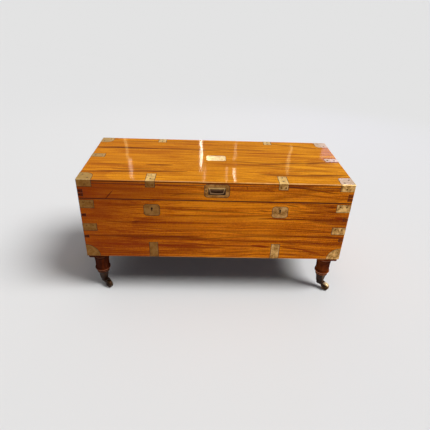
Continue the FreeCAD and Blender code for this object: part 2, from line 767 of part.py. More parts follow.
def lock(side, name):
    middle = "%d * (%s - lockFromEnd)" % (side, endFace)
    inner = "-%s" % longInner
    outer = "-%s - lockDeep" % longInner
    lockZ = ("%s - lockTall" % wallTop, wallTop)
    shell = box(name + "_shell", around(middle, "lockLong"), (outer, inner), lockZ)
    flangeY = ("%s - flangeDeep" % inner, inner)
    flangeZ = ("%s - flangeThick" % wallTop, wallTop)
    flange = box(name + "_flange", around(middle, "flangeLong"), flangeY, flangeZ)
    cavity = box(
        name + "_cavity",
        around(middle, "lockLong - 2 * lockWall"),
        (outer + " + lockWall", inner + " - lockWall"),
        ("%s - lockTall + lockWall" % wallTop, "%s - flangeThick" % wallTop),
    )
    stapleY = "%s - lockDeep / 2" % inner
    staples = []
    slots = []
    windows = []
    for index, offset in enumerate(("-staplePitch / 2", "staplePitch / 2")):
        spot = "%s + (%s)" % (middle, offset)
        staples.append(
            box(
                "%s_staple_%d" % (name, index),
                around(spot, "stapleThick"),
                around(stapleY, "stapleWide"),
                ("%s - stapleDrop" % railBottom, railBottom),
            )
        )
        slots.append(
            box(
                "%s_slot_%d" % (name, index),
                around(spot, "stapleThick + 2 * slotPlay"),
                around(stapleY, "stapleWide + 2 * slotPlay"),
                ("%s - 2 * flangeThick" % wallTop, "%s + overrun" % wallTop),
            )
        )
        windows.append(
            box(
                "%s_window_%d" % (name, index),
                around(spot, "stapleThick + 2 * overrun"),
                around(stapleY, "stapleWindow"),
                ("%s - windowDrop - windowTall" % wallTop, "%s - windowDrop" % wallTop),
            )
        )
    keyhole = newBody(name + "_keyhole")
    keySketch = newSketch(keyhole, "XZ_Plane", name + "_keyhole_outline")
    outline(keySketch, keyholeOutline("0"))
    keyholeDeep = "boardThick - lockDeep + lockWall + 2 * overrun"
    pad(keyhole, keySketch, name + "_keyhole_bore", keyholeDeep, reversed=True)
    place(keyhole, middle, "-%s - overrun" % longFace, "%s - keyholeDrop" % lidTop)
    post = cylinder(
        name + "_key_post",
        "keyPostRadius",
        "lockDeep - lockWall",
        middle,
        inner,
        "%s - keyholeDrop" % lidTop,
        turned((1, 0, 0), 90),
    )
    boltTop = "%s - boltDrop" % wallTop
    ledges = []
    for sign in (-1, 1):
        near, far = sided(sign, "ledgeInner", "lockLong / 2 - lockWall / 2")
        ledges.append(
            box(
                "%s_ledge_%d" % (name, sign + 1),
                ("%s + (%s)" % (middle, near), "%s + (%s)" % (middle, far)),
                (outer + " + lockWall / 2", inner + " - lockWall / 2"),
                ("%s - boltTall - boltPlay - ledgeThick" % boltTop, "%s - boltTall - boltPlay" % boltTop),
            )
        )
    hollow = cut(name + "_hollow", fuse(name + "_outside", [shell, flange]), [cavity])
    lockCase = cut(name + "_case_body", fuse(name + "_inside", [hollow, post] + ledges), slots + [keyhole])
    for offset in ("-flangeScrewPlace", "flangeScrewPlace"):
        spot = "%s + (%s)" % (middle, offset)
        seat("case", spot, "%s - flangeDeep / 2" % inner, wallTop, (0, 0, -1))
        seat("lid", spot, "%s - flangeDeep / 2" % inner, railBottom, (0, 0, 1))
    carriage = box(
        name + "_carriage",
        around("%s - fingerLong / 2" % middle, "boltLong"),
        (outer + " + lockWall + boltPlay", inner + " - lockWall - boltPlay"),
        ("%s - boltTall" % boltTop, boltTop),
    )
    fingers = [carriage]
    fingerTop = "%s - windowDrop - (windowTall - fingerTall) / 2" % wallTop
    for index, offset in enumerate(("-staplePitch / 2", "staplePitch / 2")):
        tipX = "%s + (%s) - stapleThick / 2 - fingerGap" % (middle, offset)
        postX = ("%s - fingerLong - fingerThick" % tipX, "%s - fingerLong" % tipX)
        fingerY = around(stapleY, "fingerThick")
        fingerZ = (fingerTop + " - fingerTall", fingerTop)
        fingers.append(box("%s_post_%d" % (name, index), postX, fingerY, (boltTop, fingerTop)))
        fingers.append(box("%s_finger_%d" % (name, index), (postX[1], tipX), fingerY, fingerZ))
    notch = box(
        name + "_bolt_notch",
        around(middle, "notchWide"),
        (outer, inner),
        ("%s - boltTall - overrun" % boltTop, "%s - boltTall + notchDeep" % boltTop),
    )
    keep(cut(name + "_bolt_body", fuse(name + "_bolt_whole", fingers), [notch]), name + "_bolt")
    linkPlate = box(
        name + "_link_strip",
        around(middle, "flangeLong"),
        flangeY,
        (railBottom, "%s + flangeThick" % railBottom),
    )
    linkWhole = cut(name + "_link", fuse(name + "_link_whole", [linkPlate] + staples), windows)
    escutcheon = newBody(name + "_escutcheon_body")
    sketch = newSketch(escutcheon, "XZ_Plane", name + "_escutcheon_outline")
    outline(sketch, roundedBox("escutcheonLong / 2", "escutcheonTall / 2", "escutcheonRound"))
    outline(sketch, keyholeOutline("(escutcheonDrop - keyholeDrop)"))
    pad(escutcheon, sketch, name + "_escutcheon_pad", "brassThick", reversed=True)
    place(escutcheon, middle, "-%s" % longFace, "%s - escutcheonDrop" % lidTop)
    keep(escutcheon, name.replace("lock", "escutcheon"))
    pocketed = [shell, flange, escutcheon, keyhole]
    lockParts[name] = (lockCase, linkWhole, linkPlate, pocketed)


lock(-1, "left_lock")
lock(1, "right_lock")


# Stop hinges: the lugs behind the barrel meet when the lid stands open
hingeY = "(%s + knuckleRadius + knuckleGap / 2)" % longFace
# A third of a turn about the cube's diagonal lays a cylinder along X
alongX = turned((1, 1, 1), 120)
hingeParts = {}


def hingeSpan(middle, index):
    pitch = "hingeLong / knuckleCount"
    low = "%s - hingeLong / 2 + %d * %s" % (middle, index, pitch)
    return low, "%s + %s" % (low, pitch)


def hingeLeaf(name, middle, own, other, half):
    leafLow = "%s + leafGap / 2" % seam if half > 0 else "%s - leafGap / 2 - leafThick" % seam
    leaf = box(
        name + "_flat",
        around(middle, "hingeLong"),
        ("%s - leafDeep" % longFace, hingeY),
        (leafLow, "%s + leafThick" % leafLow),
    )
    pieces = [leaf]
    leafEnd = "%s - hingeLong / 2" % middle
    for index in own:
        low, high = hingeSpan(middle, index)
        pieces.append(
            cylinder(
                "%s_knuckle_%d" % (name, index),
                "knuckleRadius",
                "(%s) - (%s) - knuckleGap" % (high, low),
                low + " + knuckleGap / 2",
                hingeY,
                seam,
                alongX,
            )
        )
    start = "(lidOpenAngle + stopPlay) / 2"
    angle = number(start) if half > 0 else -number("lugBack")
    lugTurn = turned((1, 0, 0), angle) * alongX
    lug = cylinder(name + "_lug", "lugRadius", "hingeLong", leafEnd, hingeY, seam, lugTurn)
    pieces.append(bind(lug, Angle="lugBack - %s" % start))
    clear = []
    for index in other:
        low, high = hingeSpan(middle, index)
        clear.append(
            cylinder(
                "%s_relief_%d" % (name, index),
                "knuckleRadius + knuckleGap",
                "(%s) - (%s) + knuckleGap" % (high, low),
                low + " - knuckleGap / 2",
                hingeY,
                seam,
                alongX,
            )
        )
    boreRadius = "hingePinRadius + runningFit"
    boreLong = "hingeLong + 2 * overrun"
    boreEnd = leafEnd + " - overrun"
    clear.append(cylinder(name + "_bore", boreRadius, boreLong, boreEnd, hingeY, seam, alongX))
    return cut(name + "_body", fuse(name + "_whole", pieces), clear), leaf


hingePins = []
for side, name in ((-1, "left_hinge"), (1, "right_hinge")):
    middle = "%d * (%s - hingeFromEnd)" % (side, endFace)
    caseKnuckles = range(0, int(number("knuckleCount")), 2)
    lidKnuckles = range(1, int(number("knuckleCount")), 2)
    hingeParts[name, "case"] = hingeLeaf(name + "_case", middle, caseKnuckles, lidKnuckles, -1)
    hingeParts[name, "lid"] = hingeLeaf(name + "_lid", middle, lidKnuckles, caseKnuckles, 1)
    pinEnd = "%s - hingeLong / 2" % middle
    hingePins.append(cylinder(name + "_rod", "hingePinRadius", "hingeLong", pinEnd, hingeY, seam, alongX))
    screwY = "%s - leafScrewDeep * leafDeep" % longFace
    for sign in (-1, 0, 1):
        spot = "%s + %d * leafScrewApart * hingeLong" % (middle, sign)
        seat("case", spot, screwY, "%s - leafGap / 2" % seam, (0, 0, -1))
        seat("lid", spot, screwY, "%s + leafGap / 2" % seam, (0, 0, 1))
keep(group("hinge_pin_group", hingePins), "hinge_pins")


# Flush handles: a plate with a cup behind it and a bail that lies in the cup
def handlePlate(name, long, tall, radius, recessLong, recessTall, recessDeep, recessLift):
    body = newBody(name)
    face = newSketch(body, "XZ_Plane", name + "_face")
    outline(face, roundedBox("%s / 2" % long, "%s / 2" % tall, radius))
    pad(body, face, name + "_plate", "handlePlateThick", reversed=True)
    shell = newSketch(body, "XZ_Plane", name + "_shell")
    shellHalves = ("%s / 2 + cupWall" % recessLong, "%s / 2 + cupWall" % recessTall)
    outline(shell, roundedBox(*shellHalves, "cupRound", recessLift))
    pad(body, shell, name + "_cup", "%s + cupFloor" % recessDeep, reversed=True)
    hollow = newSketch(body, "XZ_Plane", name + "_recess")
    outline(hollow, roundedBox("%s / 2" % recessLong, "%s / 2" % recessTall, "cupRound", recessLift))
    pocket(body, hollow, name + "_hollow", recessDeep)
    return body


def bailOutlines(half, reach, bar, narrow, thick):
    foot = "(%s - %s)" % (half, narrow)
    top = "%s / 2" % thick
    shoulder = "(-%s + %s)" % (reach, bar)
    outside = [
        (half, "%s - bailShoulder" % top, "bailShoulder", -1),
        ("%s - bailShoulder" % half, top),
        ("bailShoulder - %s" % half, top, "bailShoulder", -1),
        ("-" + half, "%s - bailShoulder" % top),
        ("-" + half, "-%s / 2" % thick),
        ("-" + foot, shoulder, bar, -1),
        ("-%s + %s" % (foot, bar), "-" + reach, "bailFootArc * %s" % half, -1),
        ("%s - %s" % (foot, bar), "-" + reach, bar, -1),
        (foot, shoulder),
        (half, "-%s / 2" % thick),
    ]
    innerHalf = "(%s - %s)" % (half, bar)
    innerFoot = "(%s - %s)" % (foot, bar)
    inside = [
        (innerHalf, "-%s / 2" % thick),
        ("-" + innerHalf, "-%s / 2" % thick),
        ("-" + innerFoot, shoulder, "bailFootArc * %s" % half, -1),
        (innerFoot, shoulder),
    ]
    return outside, inside


def bail(name, recessLong, reach, bar, narrow, thick):
    body = newBody(name)
    half = "(%s / 2 - bailSide)" % recessLong
    outside, inside = bailOutlines(half, reach, bar, narrow, thick)
    loop = newSketch(body, "XZ_Plane", name + "_loop")
    outline(loop, outside)
    outline(loop, inside)
    blank = pad(body, loop, name + "_bar", thick, middle=True)
    doc.recompute()
    rounding = body.newObject("PartDesign::Fillet", name + "_rounding")
    rounding.Base = (blank, [""])
    rounding.UseAllEdges = True
    bind(rounding, Radius="bailEdgeRound")
    axle = newSketch(body, "YZ_Plane", name + "_axle")
    ring(axle, "0", "0", "bailPinRadius")
    pad(body, axle, name + "_pins", "%s + 2 * bailPinInto" % recessLong, middle=True)
    return body


def pinBores(name, recessLong):
    bore = newBody(name)
    sketch = newSketch(bore, "YZ_Plane", name + "_section")
    ring(sketch, "0", "0", "bailPinRadius + runningFit")
    pad(bore, sketch, name + "_length", "%s + 2 * bailPinInto + 2 * runningFit" % recessLong, middle=True)
    return bore


def cupBlock(name, recessLong, recessTall, recessDeep, lift):
    body = newBody(name)
    sketch = newSketch(body, "XZ_Plane", name + "_section")
    outline(sketch, roundedBox("%s / 2" % recessLong, "%s / 2" % recessTall, "cupRound", lift))
    pad(body, sketch, name + "_length", recessDeep, reversed=True)
    return body


def flushHandle(name, sizesOf, spot, angle, ways, part):
    rotation = turned((0, 0, 1), angle)
    plateName, bailName = name + "_plate_body", name + "_bail_body"
    recess = [sizesOf + key for key in ("RecessLong", "RecessTall", "RecessDeep")]
    lift = "(liftPlateDrop - liftRecessDrop)" if sizesOf == "lift" else "0"
    plate = handlePlate(
        plateName, sizesOf + "PlateLong", sizesOf + "PlateTall", sizesOf + "PlateRound", *recess, lift
    )
    place(plate, *spot, rotation)
    filled = cupBlock(name + "_cup_block", *recess, lift)
    place(filled, *spot, rotation)
    thick = sizesOf + "BailThick"
    rise = "(%s + %s / 2 - bailTopGap - %s / 2)" % (lift, recess[1], thick)
    deep = "(bailSunk + %s / 2)" % thick
    axis = ["%s + %d * %s" % (spot[0], ways[0], deep), "%s + %d * %s" % (spot[1], ways[1], deep)]
    axis.append("%s + %s" % (spot[2], rise))
    bailSizes = [sizesOf + key for key in ("BailReach", "BailBar", "BailNarrow")]
    bailBody = bail(bailName, recess[0], *bailSizes, thick)
    place(bailBody, *axis, rotation)
    bores = place(pinBores(name + "_pin_bores", recess[0]), *axis, rotation)
    keep(bailBody, name + "_bail")
    across = (-ways[1], ways[0])
    for sign in (-1, 1):
        offset = "%d * %sScrewPlace" % (sign, sizesOf)
        x = "%s + %d * (%s)" % (spot[0], across[0], offset)
        y = "%s + %d * (%s)" % (spot[1], across[1], offset)
        seat(part, x, y, spot[2], (ways[0], ways[1], 0))
    return plate, bores, filled


liftSpot = ("0", "-%s" % longFace, "%s - liftPlateDrop" % lidTop)
leftSpot = ("-%s" % endFace, "0", "%s - endPlateDrop" % lidTop)
rightSpot = (endFace, "0", "%s - endPlateDrop" % lidTop)
liftPlate = flushHandle("front_handle", "lift", liftSpot, 0, (0, 1), "lid")
leftPlate = flushHandle("left_handle", "end", leftSpot, -90, (1, 0), "case")
rightPlate = flushHandle("right_handle", "end", rightSpot, 90, (-1, 0), "case")

caseHoles = screwGroup("case")
lidHoles = screwGroup("lid")
for label, (plate, bores, filled), holes in (
    ("front_handle_plate", liftPlate, lidHoles),
    ("left_handle_plate", leftPlate, caseHoles),
    ("right_handle_plate", rightPlate, caseHoles),
):
    keep(cut(label + "_finished", plate, [bores, holes]), label)

# Brass with its screw holes
tenons = [
    cylinder(
        "tenon_hole_" + cornerNames[signs],
        "tenonRadius + tenonFit",
        "blockThick + tenonInBottom + tenonFit",
        "%d * %s" % (signs[0], legX),
        "%d * %s" % (signs[1], legY),
        "legHeight - blockThick",
    )
    for signs in cornerSigns
]
tenonHoles = group("tenon_holes", tenons)
for label, blanks, tools in (
    ("upper_corner_straps", upperStraps, [caseHoles]),
    ("middle_corner_straps", middleStraps, [caseHoles]),
    ("lower_corner_brackets", lowerBrackets, [caseHoles, tenonHoles]),
    ("lower_edge_straps", lowerStraps, [caseHoles]),
    ("lid_corner_brackets", lidBrackets, [lidHoles]),
    ("lid_front_straps", lidFrontStraps, [lidHoles]),
    ("lid_back_straps", lidBackStraps, [lidHoles]),
    ("lid_end_straps", lidEndStrapGroup, [lidHoles]),
):
    keep(cut(label + "_drilled", blanks, tools), label)

for name, (lockCase, linkWhole, linkStrip, pocketed) in lockParts.items():
    keep(cut(name + "_case_drilled", lockCase, [caseHoles]), name + "_case")
    keep(cut(name + "_link_drilled", linkWhole, [lidHoles]), name + "_link_plate")

for (name, part), (leafWhole, leafPlate) in hingeParts.items():
    holes = caseHoles if part == "case" else lidHoles
    keep(cut("%s_%s_drilled" % (name, part), leafWhole, [holes]), "%s_%s_leaf" % (name, part))

# Boards with their joints, recesses and holes
caseBrass = [upperStraps, middleStraps, lowerBrackets, lowerStraps, caseHoles]
caseLeaves = [hingeParts[name, "case"][1] for name in ("left_hinge", "right_hinge")]
lidLeaves = [hingeParts[name, "lid"][1] for name in ("left_hinge", "right_hinge")]
lockPockets = [tool for name in lockParts for tool in lockParts[name][3]]
linkStrips = [lockParts[name][2] for name in lockParts]


def longBoard(name, ySide, span, ownPins, tools):
    blank = box(name + "_blank", wholeLength, sided(ySide, longInner, longFace), span)
    sockets = ownPins[(-1, ySide)] + ownPins[(1, ySide)]
    return keep(cut(name + "_finished", blank, sockets + tools), name)


def endBoard(name, xSide, span, ownPins, tools):
    blank = box(name + "_blank", sided(xSide, endInner, endFace), innerDepthSpan, span)
    whole = fuse(name + "_pinned", [blank] + ownPins[(xSide, -1)] + ownPins[(xSide, 1)])
    return keep(cut(name + "_finished", whole, tools), name)


longBoard("front_board", -1, caseHigh, casePins, caseBrass + [bottomBoard] + lockPockets)
longBoard("back_board", 1, caseHigh, casePins, caseBrass + [bottomBoard] + caseLeaves)
endBoard("left_end_board", -1, caseHigh, casePins, caseBrass + [bottomBoard, leftPlate[0], leftPlate[2]])
endBoard("right_end_board", 1, caseHigh, casePins, caseBrass + [bottomBoard, rightPlate[0], rightPlate[2]])
bottomCutters = [lowerBrackets, lowerStraps, caseHoles, tenonHoles]
keep(cut("bottom_board_finished", bottomBoard, bottomCutters), "bottom_board")

lidBrass = [lidBrackets, lidFrontStraps, lidBackStraps, lidEndStrapGroup, lidHoles]
longBoard("lid_front_rail", -1, railHigh, lidPins, lidBrass + [liftPlate[0], liftPlate[2]] + linkStrips)
longBoard("lid_back_rail", 1, railHigh, lidPins, lidBrass + lidLeaves)
endBoard("lid_left_rail", -1, railHigh, lidPins, lidBrass)
endBoard("lid_right_rail", 1, railHigh, lidPins, lidBrass)
lidPanel = box("lid_panel", wholeLength, wholeDepth, (topBoardUnder, lidTop))
keep(cut("lid_top_board_finished", lidPanel, lidBrass + [namePlate, liftPlate[0]]), "lid_top_board")


# Corner blocks and turned legs under the case
def cornerBlock(xSide, ySide):
    name = "leg_block_" + cornerNames[(xSide, ySide)]
    body = newBody(name)
    sketch = newSketch(body, "XY_Plane", name + "_outline")
    outline(sketch, roundedBox("blockSize / 2", "blockSize / 2", "blockRound"))
    ring(sketch, "0", "0", "tenonRadius + tenonFit")
    pad(body, sketch, name + "_pad", "blockThick", reversed=True)
    return place(body, "%d * %s" % (xSide, legX), "%d * %s" % (ySide, legY), "legHeight")


keep(group("leg_block_group", [cornerBlock(*signs) for signs in cornerSigns]), "leg_blocks")

blockUnder = "(legHeight - blockThick)"
collarEnd = "(legHeight - blockThick - collarTall)"
spigotTop = "(socketRimRadius - socketWall - socketFit)"
spigotWaist = "(socketWaistRadius - socketWall - socketFit)"
spigotEnd = "(socketEndRadius - socketWall - socketFit)"
legProfile = [
    ("0", "legHeight + tenonInBottom"),
    ("0", "socketBottom + socketFloor + socketFit"),
    (spigotEnd, "socketBottom + socketFloor + socketFit"),
    (spigotWaist, "socketWaist"),
    (spigotTop, "socketTop"),
    ("neckEndRadius", "socketTop"),
    ("neckTopRadius", "beadTop - beadTall"),
    ("beadRadius", "beadTop - beadTall", "beadBulge", -1),
    ("beadRadius", "beadTop"),
    ("shaftEndRadius", "shaftEnd", "shaftHollow", 1),
    ("shaftTopRadius", collarEnd),
    ("collarRadius", collarEnd, "collarBulge", -1),
    ("collarRadius", blockUnder),
    ("tenonRadius", blockUnder),
    ("tenonRadius", "legHeight + tenonInBottom"),
]
socketProfile = [
    ("0", "socketBottom - hubTall - hubGap - swivelHeadTall"),
    ("swivelHeadRadius", "socketBottom - hubTall - hubGap - swivelHeadTall"),
    ("swivelHeadRadius", "socketBottom - hubTall - 2 * hubGap"),
    ("swivelPinRadius", "socketBottom - hubTall - 2 * hubGap"),
    ("swivelPinRadius", "socketBottom"),
    ("socketEndRadius - socketFootStep", "socketBottom"),
    ("socketEndRadius", "socketBottom + socketFootTall"),
    ("socketWaistRadius", "socketWaist", "socketHollow", 1),
    ("socketRimRadius - socketRimStep", "socketTop - socketRimTall"),
    ("socketRimRadius", "socketTop - socketRimTall", "socketRimTall", -1),
    ("socketRimRadius", "socketTop"),
    ("socketRimRadius - socketWall", "socketTop"),
    ("socketWaistRadius - socketWall", "socketWaist"),
    ("socketEndRadius - socketWall", "socketBottom + socketFloor"),
    ("0", "socketBottom + socketFloor"),
]
sockets = []
for signs in cornerSigns:
    x = "%d * %s" % (signs[0], legX)
    y = "%d * %s" % (signs[1], legY)
    leg = place(revolved("leg_body_" + cornerNames[signs], legProfile), x, y, "0")
    keep(leg, "turned_leg_" + cornerNames[signs])
    sockets.append(place(revolved("socket_" + cornerNames[signs], socketProfile), x, y, "0"))
keep(group("socket_group", sockets), "castor_sockets")


# Castors: a swivelling horn with two cheeks, an axle and a wheel that trails behind the pivot
def horn(name):
    body = newBody(name)
    top = "socketBottom - hubGap"
    low = "socketBottom - hubGap - hubTall"
    side = newSketch(body, "XZ_Plane", name + "_side")
    outline(
        side,
        [
            ("0", top),
            ("0", low),
            ("hornFoot", low, "trail * hornUnderArc", 1),
            (
                "trail - cheekRadius * cos(cheekWrap)",
                "wheelRadius - cheekRadius * sin(cheekWrap)",
                "cheekRadius",
                -1,
            ),
            ("trail", "wheelRadius + cheekRadius", "trail * hornOverArc", -1),
            ("hornNeck", top),
        ],
    )
    pad(body, side, name + "_arm", "wheelWide + 2 * wheelGap + 2 * cheekThick", middle=True)
    hub = newSketch(body, "XY_Plane", name + "_hub", low)
    ring(hub, "0", "0", "hubRadius")
    pad(body, hub, name + "_hub_pad", "hubTall")
    gap = newSketch(body, "XZ_Plane", name + "_gap")
    ring(gap, "trail", "wheelRadius", "wheelRadius + wheelSwing")
    pocket(body, gap, name + "_wheel_gap", "wheelWide + 2 * wheelGap", middle=True)
    bore = newSketch(body, "XY_Plane", name + "_bore")
    ring(bore, "0", "0", "swivelPinRadius + runningFit")
    pocket(body, bore, name + "_swivel_bore", "2 * socketBottom", middle=True)
    eye = newSketch(body, "XZ_Plane", name + "_eye")
    ring(eye, "trail", "wheelRadius", "axleRadius + runningFit")
    pocket(body, eye, name + "_axle_bore", "4 * wheelWide", middle=True)
    return body


wheelProfile = [
    ("axleRadius + runningFit", "-wheelWide / 2"),
    ("wheelHubRadius", "-wheelWide / 2"),
    ("wheelHubRadius + wheelDishStep", "-wheelWide / 2 + wheelDish"),
    ("wheelRadius - wheelRound - wheelLip", "-wheelWide / 2 + wheelDish"),
    ("wheelRadius - wheelRound", "-wheelWide / 2", "wheelRound", -1),
    ("wheelRadius", "-wheelWide / 2 + wheelRound"),
    ("wheelRadius", "wheelWide / 2 - wheelRound", "wheelRound", -1),
    ("wheelRadius - wheelRound", "wheelWide / 2"),
    ("wheelRadius - wheelRound - wheelLip", "wheelWide / 2 - wheelDish"),
    ("wheelHubRadius + wheelDishStep", "wheelWide / 2 - wheelDish"),
    ("wheelHubRadius", "wheelWide / 2"),
    ("axleRadius + runningFit", "wheelWide / 2"),
]
axleHalf = "(wheelWide / 2 + wheelGap + cheekThick)"
axleProfile = [
    ("0", "-%s - axleHeadThick" % axleHalf),
    ("axleHeadRadius - axleHeadCrown", "-%s - axleHeadThick" % axleHalf),
    ("axleHeadRadius", "-%s" % axleHalf),
    ("axleRadius", "-%s" % axleHalf),
    ("axleRadius", axleHalf),
    ("axleHeadRadius", axleHalf),
    ("axleHeadRadius - axleHeadCrown", "%s + axleHeadThick" % axleHalf),
    ("0", "%s + axleHeadThick" % axleHalf),
]
turns = {
    (-1, -1): "frontLeftTurn",
    (1, -1): "frontRightTurn",
    (-1, 1): "backLeftTurn",
    (1, 1): "backRightTurn",
}
for signs in cornerSigns:
    corner = cornerNames[signs]
    turn = turned((0, 0, 1), number(turns[signs]))
    x = "%d * %s" % (signs[0], legX)
    y = "%d * %s" % (signs[1], legY)
    keep(place(horn("horn_body_" + corner), x, y, "0", turn), "castor_horn_" + corner)
    wheelX = "%s + trail * cos(%s)" % (x, turns[signs])
    wheelY = "%s + trail * sin(%s)" % (y, turns[signs])
    lying = turn * turned((1, 0, 0), 90)
    wheel = place(revolved("wheel_body_" + corner, wheelProfile), wheelX, wheelY, "wheelRadius", lying)
    keep(wheel, "castor_wheel_" + corner)
    axle = place(revolved("axle_body_" + corner, axleProfile), wheelX, wheelY, "wheelRadius", lying)
    keep(axle, "castor_axle_" + corner)

doc.recompute()
for thing in doc.Objects:
    if "Invalid" in thing.State or "Error" in thing.State:
        raise RuntimeError("%s failed: %s" % (thing.Name, thing.State))
for thing in nodes:
    if thing.Shape.isNull() or not thing.Shape.isValid():
        raise RuntimeError("%s has no valid shape" % thing.Label)
    thing.Shape.exportStep("parts/%s.step" % thing.Label)
print("%d nodes written" % len(nodes))
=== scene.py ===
import json
import math

import bmesh
import bpy
from mathutils import Matrix, Vector

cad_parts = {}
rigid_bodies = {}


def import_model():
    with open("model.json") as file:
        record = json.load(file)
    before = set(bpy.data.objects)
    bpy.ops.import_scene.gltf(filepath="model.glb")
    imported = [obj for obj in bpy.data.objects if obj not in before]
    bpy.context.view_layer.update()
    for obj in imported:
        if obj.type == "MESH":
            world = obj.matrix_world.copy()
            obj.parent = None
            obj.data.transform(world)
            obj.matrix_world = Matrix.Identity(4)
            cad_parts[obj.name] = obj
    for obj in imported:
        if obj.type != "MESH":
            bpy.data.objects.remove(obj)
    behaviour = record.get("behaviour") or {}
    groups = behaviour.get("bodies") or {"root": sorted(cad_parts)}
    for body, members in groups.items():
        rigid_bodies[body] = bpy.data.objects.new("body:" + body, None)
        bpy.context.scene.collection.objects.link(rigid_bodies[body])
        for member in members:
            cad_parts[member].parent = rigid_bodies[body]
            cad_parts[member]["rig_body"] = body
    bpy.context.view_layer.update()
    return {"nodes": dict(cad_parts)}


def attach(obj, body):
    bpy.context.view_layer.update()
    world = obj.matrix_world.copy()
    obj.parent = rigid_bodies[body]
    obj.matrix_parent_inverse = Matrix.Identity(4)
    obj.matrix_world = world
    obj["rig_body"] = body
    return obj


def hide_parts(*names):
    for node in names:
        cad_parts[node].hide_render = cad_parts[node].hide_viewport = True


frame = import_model()
nodes = frame["nodes"]
scene = bpy.context.scene
print("frame loaded:", len(nodes), "nodes")

# The chest's outer faces and its hollow, in metres
chest = {
    "endFace": 0.535,
    "longFace": 0.235,
    "caseBottom": 0.188,
    "lidTop": 0.542,
    "hollowEnd": 0.5155,
    "hollowLong": 0.2155,
    "hollowTop": 0.5265,
    "hollowBottom": 0.2035,
}


def addNode(tree, kind, inputs=None, **settings):
    node = tree.nodes.new(kind)
    for name, value in settings.items():
        setattr(node, name, value)
    for key, value in (inputs or {}).items():
        if isinstance(value, bpy.types.NodeSocket):
            tree.links.new(value, node.inputs[key])
        else:
            node.inputs[key].default_value = value
    return node


def calc(tree, operation, first, second=0.0, clamp=False):
    inputs = {0: first, 1: second}
    return addNode(tree, "ShaderNodeMath", inputs, operation=operation, use_clamp=clamp).outputs[0]


def vectorCalc(tree, operation, first, second=(0, 0, 0), output=0):
    inputs = {0: first, 1: second}
    return addNode(tree, "ShaderNodeVectorMath", inputs, operation=operation).outputs[output]


def blend(tree, share, under, colour):
    inputs = {0: share, 6: under, 7: (*colour, 1)}
    return addNode(tree, "ShaderNodeMix", inputs, data_type="RGBA", blend_type="MIX").outputs[2]


def stretch(tree, value, low, high, start=0.0, end=1.0):
    inputs = {"Value": value, "From Min": low, "From Max": high, "To Min": start, "To Max": end}
    return addNode(tree, "ShaderNodeMapRange", inputs, interpolation_type="SMOOTHSTEP").outputs[0]


def noise(tree, vector, scale, detail=2.0, roughness=0.5, output="Fac"):
    inputs = {"Vector": vector, "Scale": scale, "Detail": detail, "Roughness": roughness}
    return addNode(tree, "ShaderNodeTexNoise", inputs).outputs[output]


def scaled(tree, vector, scale, offset=(0, 0, 0)):
    inputs = {"Vector": vector, "Location": offset, "Scale": scale}
    return addNode(tree, "ShaderNodeMapping", inputs).outputs[0]


def squeezed(axis, scale):
    scales = [1.0, 1.0, 1.0]
    scales[axis] = scale
    return scales


# A noise as a shift of place, up to half of reach each way
def wander(tree, vector, scale, detail, reach):
    shift = noise(tree, vector, scale, detail, 0.5, "Color")
    shift = vectorCalc(tree, "SUBTRACT", shift, (0.5, 0.5, 0.5))
    return vectorCalc(tree, "MULTIPLY", shift, reach)


# A noise about its middle, times a share
def swing(tree, value, share):
    return calc(tree, "MULTIPLY", calc(tree, "SUBTRACT", value, 0.5), share)


def weighed(tree, first, firstShare, second, secondShare):
    first = calc(tree, "MULTIPLY", first, firstShare)
    return calc(tree, "ADD", first, calc(tree, "MULTIPLY", second, secondShare))


def axesOf(tree, vector):
    return addNode(tree, "ShaderNodeSeparateXYZ", {0: vector}).outputs


# A soft line at one height, as a mask: full within core times half, gone past half
def heightLine(tree, height, level, half, core, strength=1.0):
    gap = calc(tree, "ABSOLUTE", calc(tree, "SUBTRACT", height, level))
    return stretch(tree, gap, half * core, half, strength, 0.0)


def ramp(tree, factor, stops):
    node = addNode(tree, "ShaderNodeValToRGB", {"Fac": factor})
    band = node.color_ramp
    while len(band.elements) < len(stops):
        band.elements.new(0.5)
    for element, (place, colour) in zip(band.elements, stops):
        element.position = place
        element.color = (*colour, 1)
    return node.outputs[0]


def bump(tree, height, distance, strength=1.0, normal=None):
    inputs = {"Height": height, "Distance": distance, "Strength": strength}
    if normal:
        inputs["Normal"] = normal
    return addNode(tree, "ShaderNodeBump", inputs).outputs[0]


def startMaterial(name, **constants):
    material = bpy.data.materials.new(name)
    material.use_nodes = True
    tree = material.node_tree
    tree.nodes.clear()
    shader = addNode(tree, "ShaderNodeBsdfPrincipled")
    addNode(tree, "ShaderNodeOutputMaterial", {"Surface": shader.outputs[0]})
    for key, value in constants.items():
        shader.inputs[key.replace("_", " ")].default_value = value
    place = addNode(tree, "ShaderNodeTexCoord").outputs["Object"]
    return material, tree, shader, place


# Wood under a coat of polish, which alone gives the gloss
def startPolished(name, coat, coatRoughness):
    return startMaterial(
        name,
        Coat_Weight=coat,
        Coat_Roughness=coatRoughness,
        Coat_IOR=1.5,
        IOR=1.45,
        Specular_IOR_Level=0.0,
    )


def joinTo(tree, shader, **links):
    for key, socket in links.items():
        tree.links.new(socket, shader.inputs[key.replace("_", " ")])


# One dark streak of figure or one scratch: a line from Start to End, as a mask. It has its full
# width in the middle and a fifth of it at the ends
streakShape = {"swell": 3.2, "blunt": 0.2, "fullFrom": 0.9}


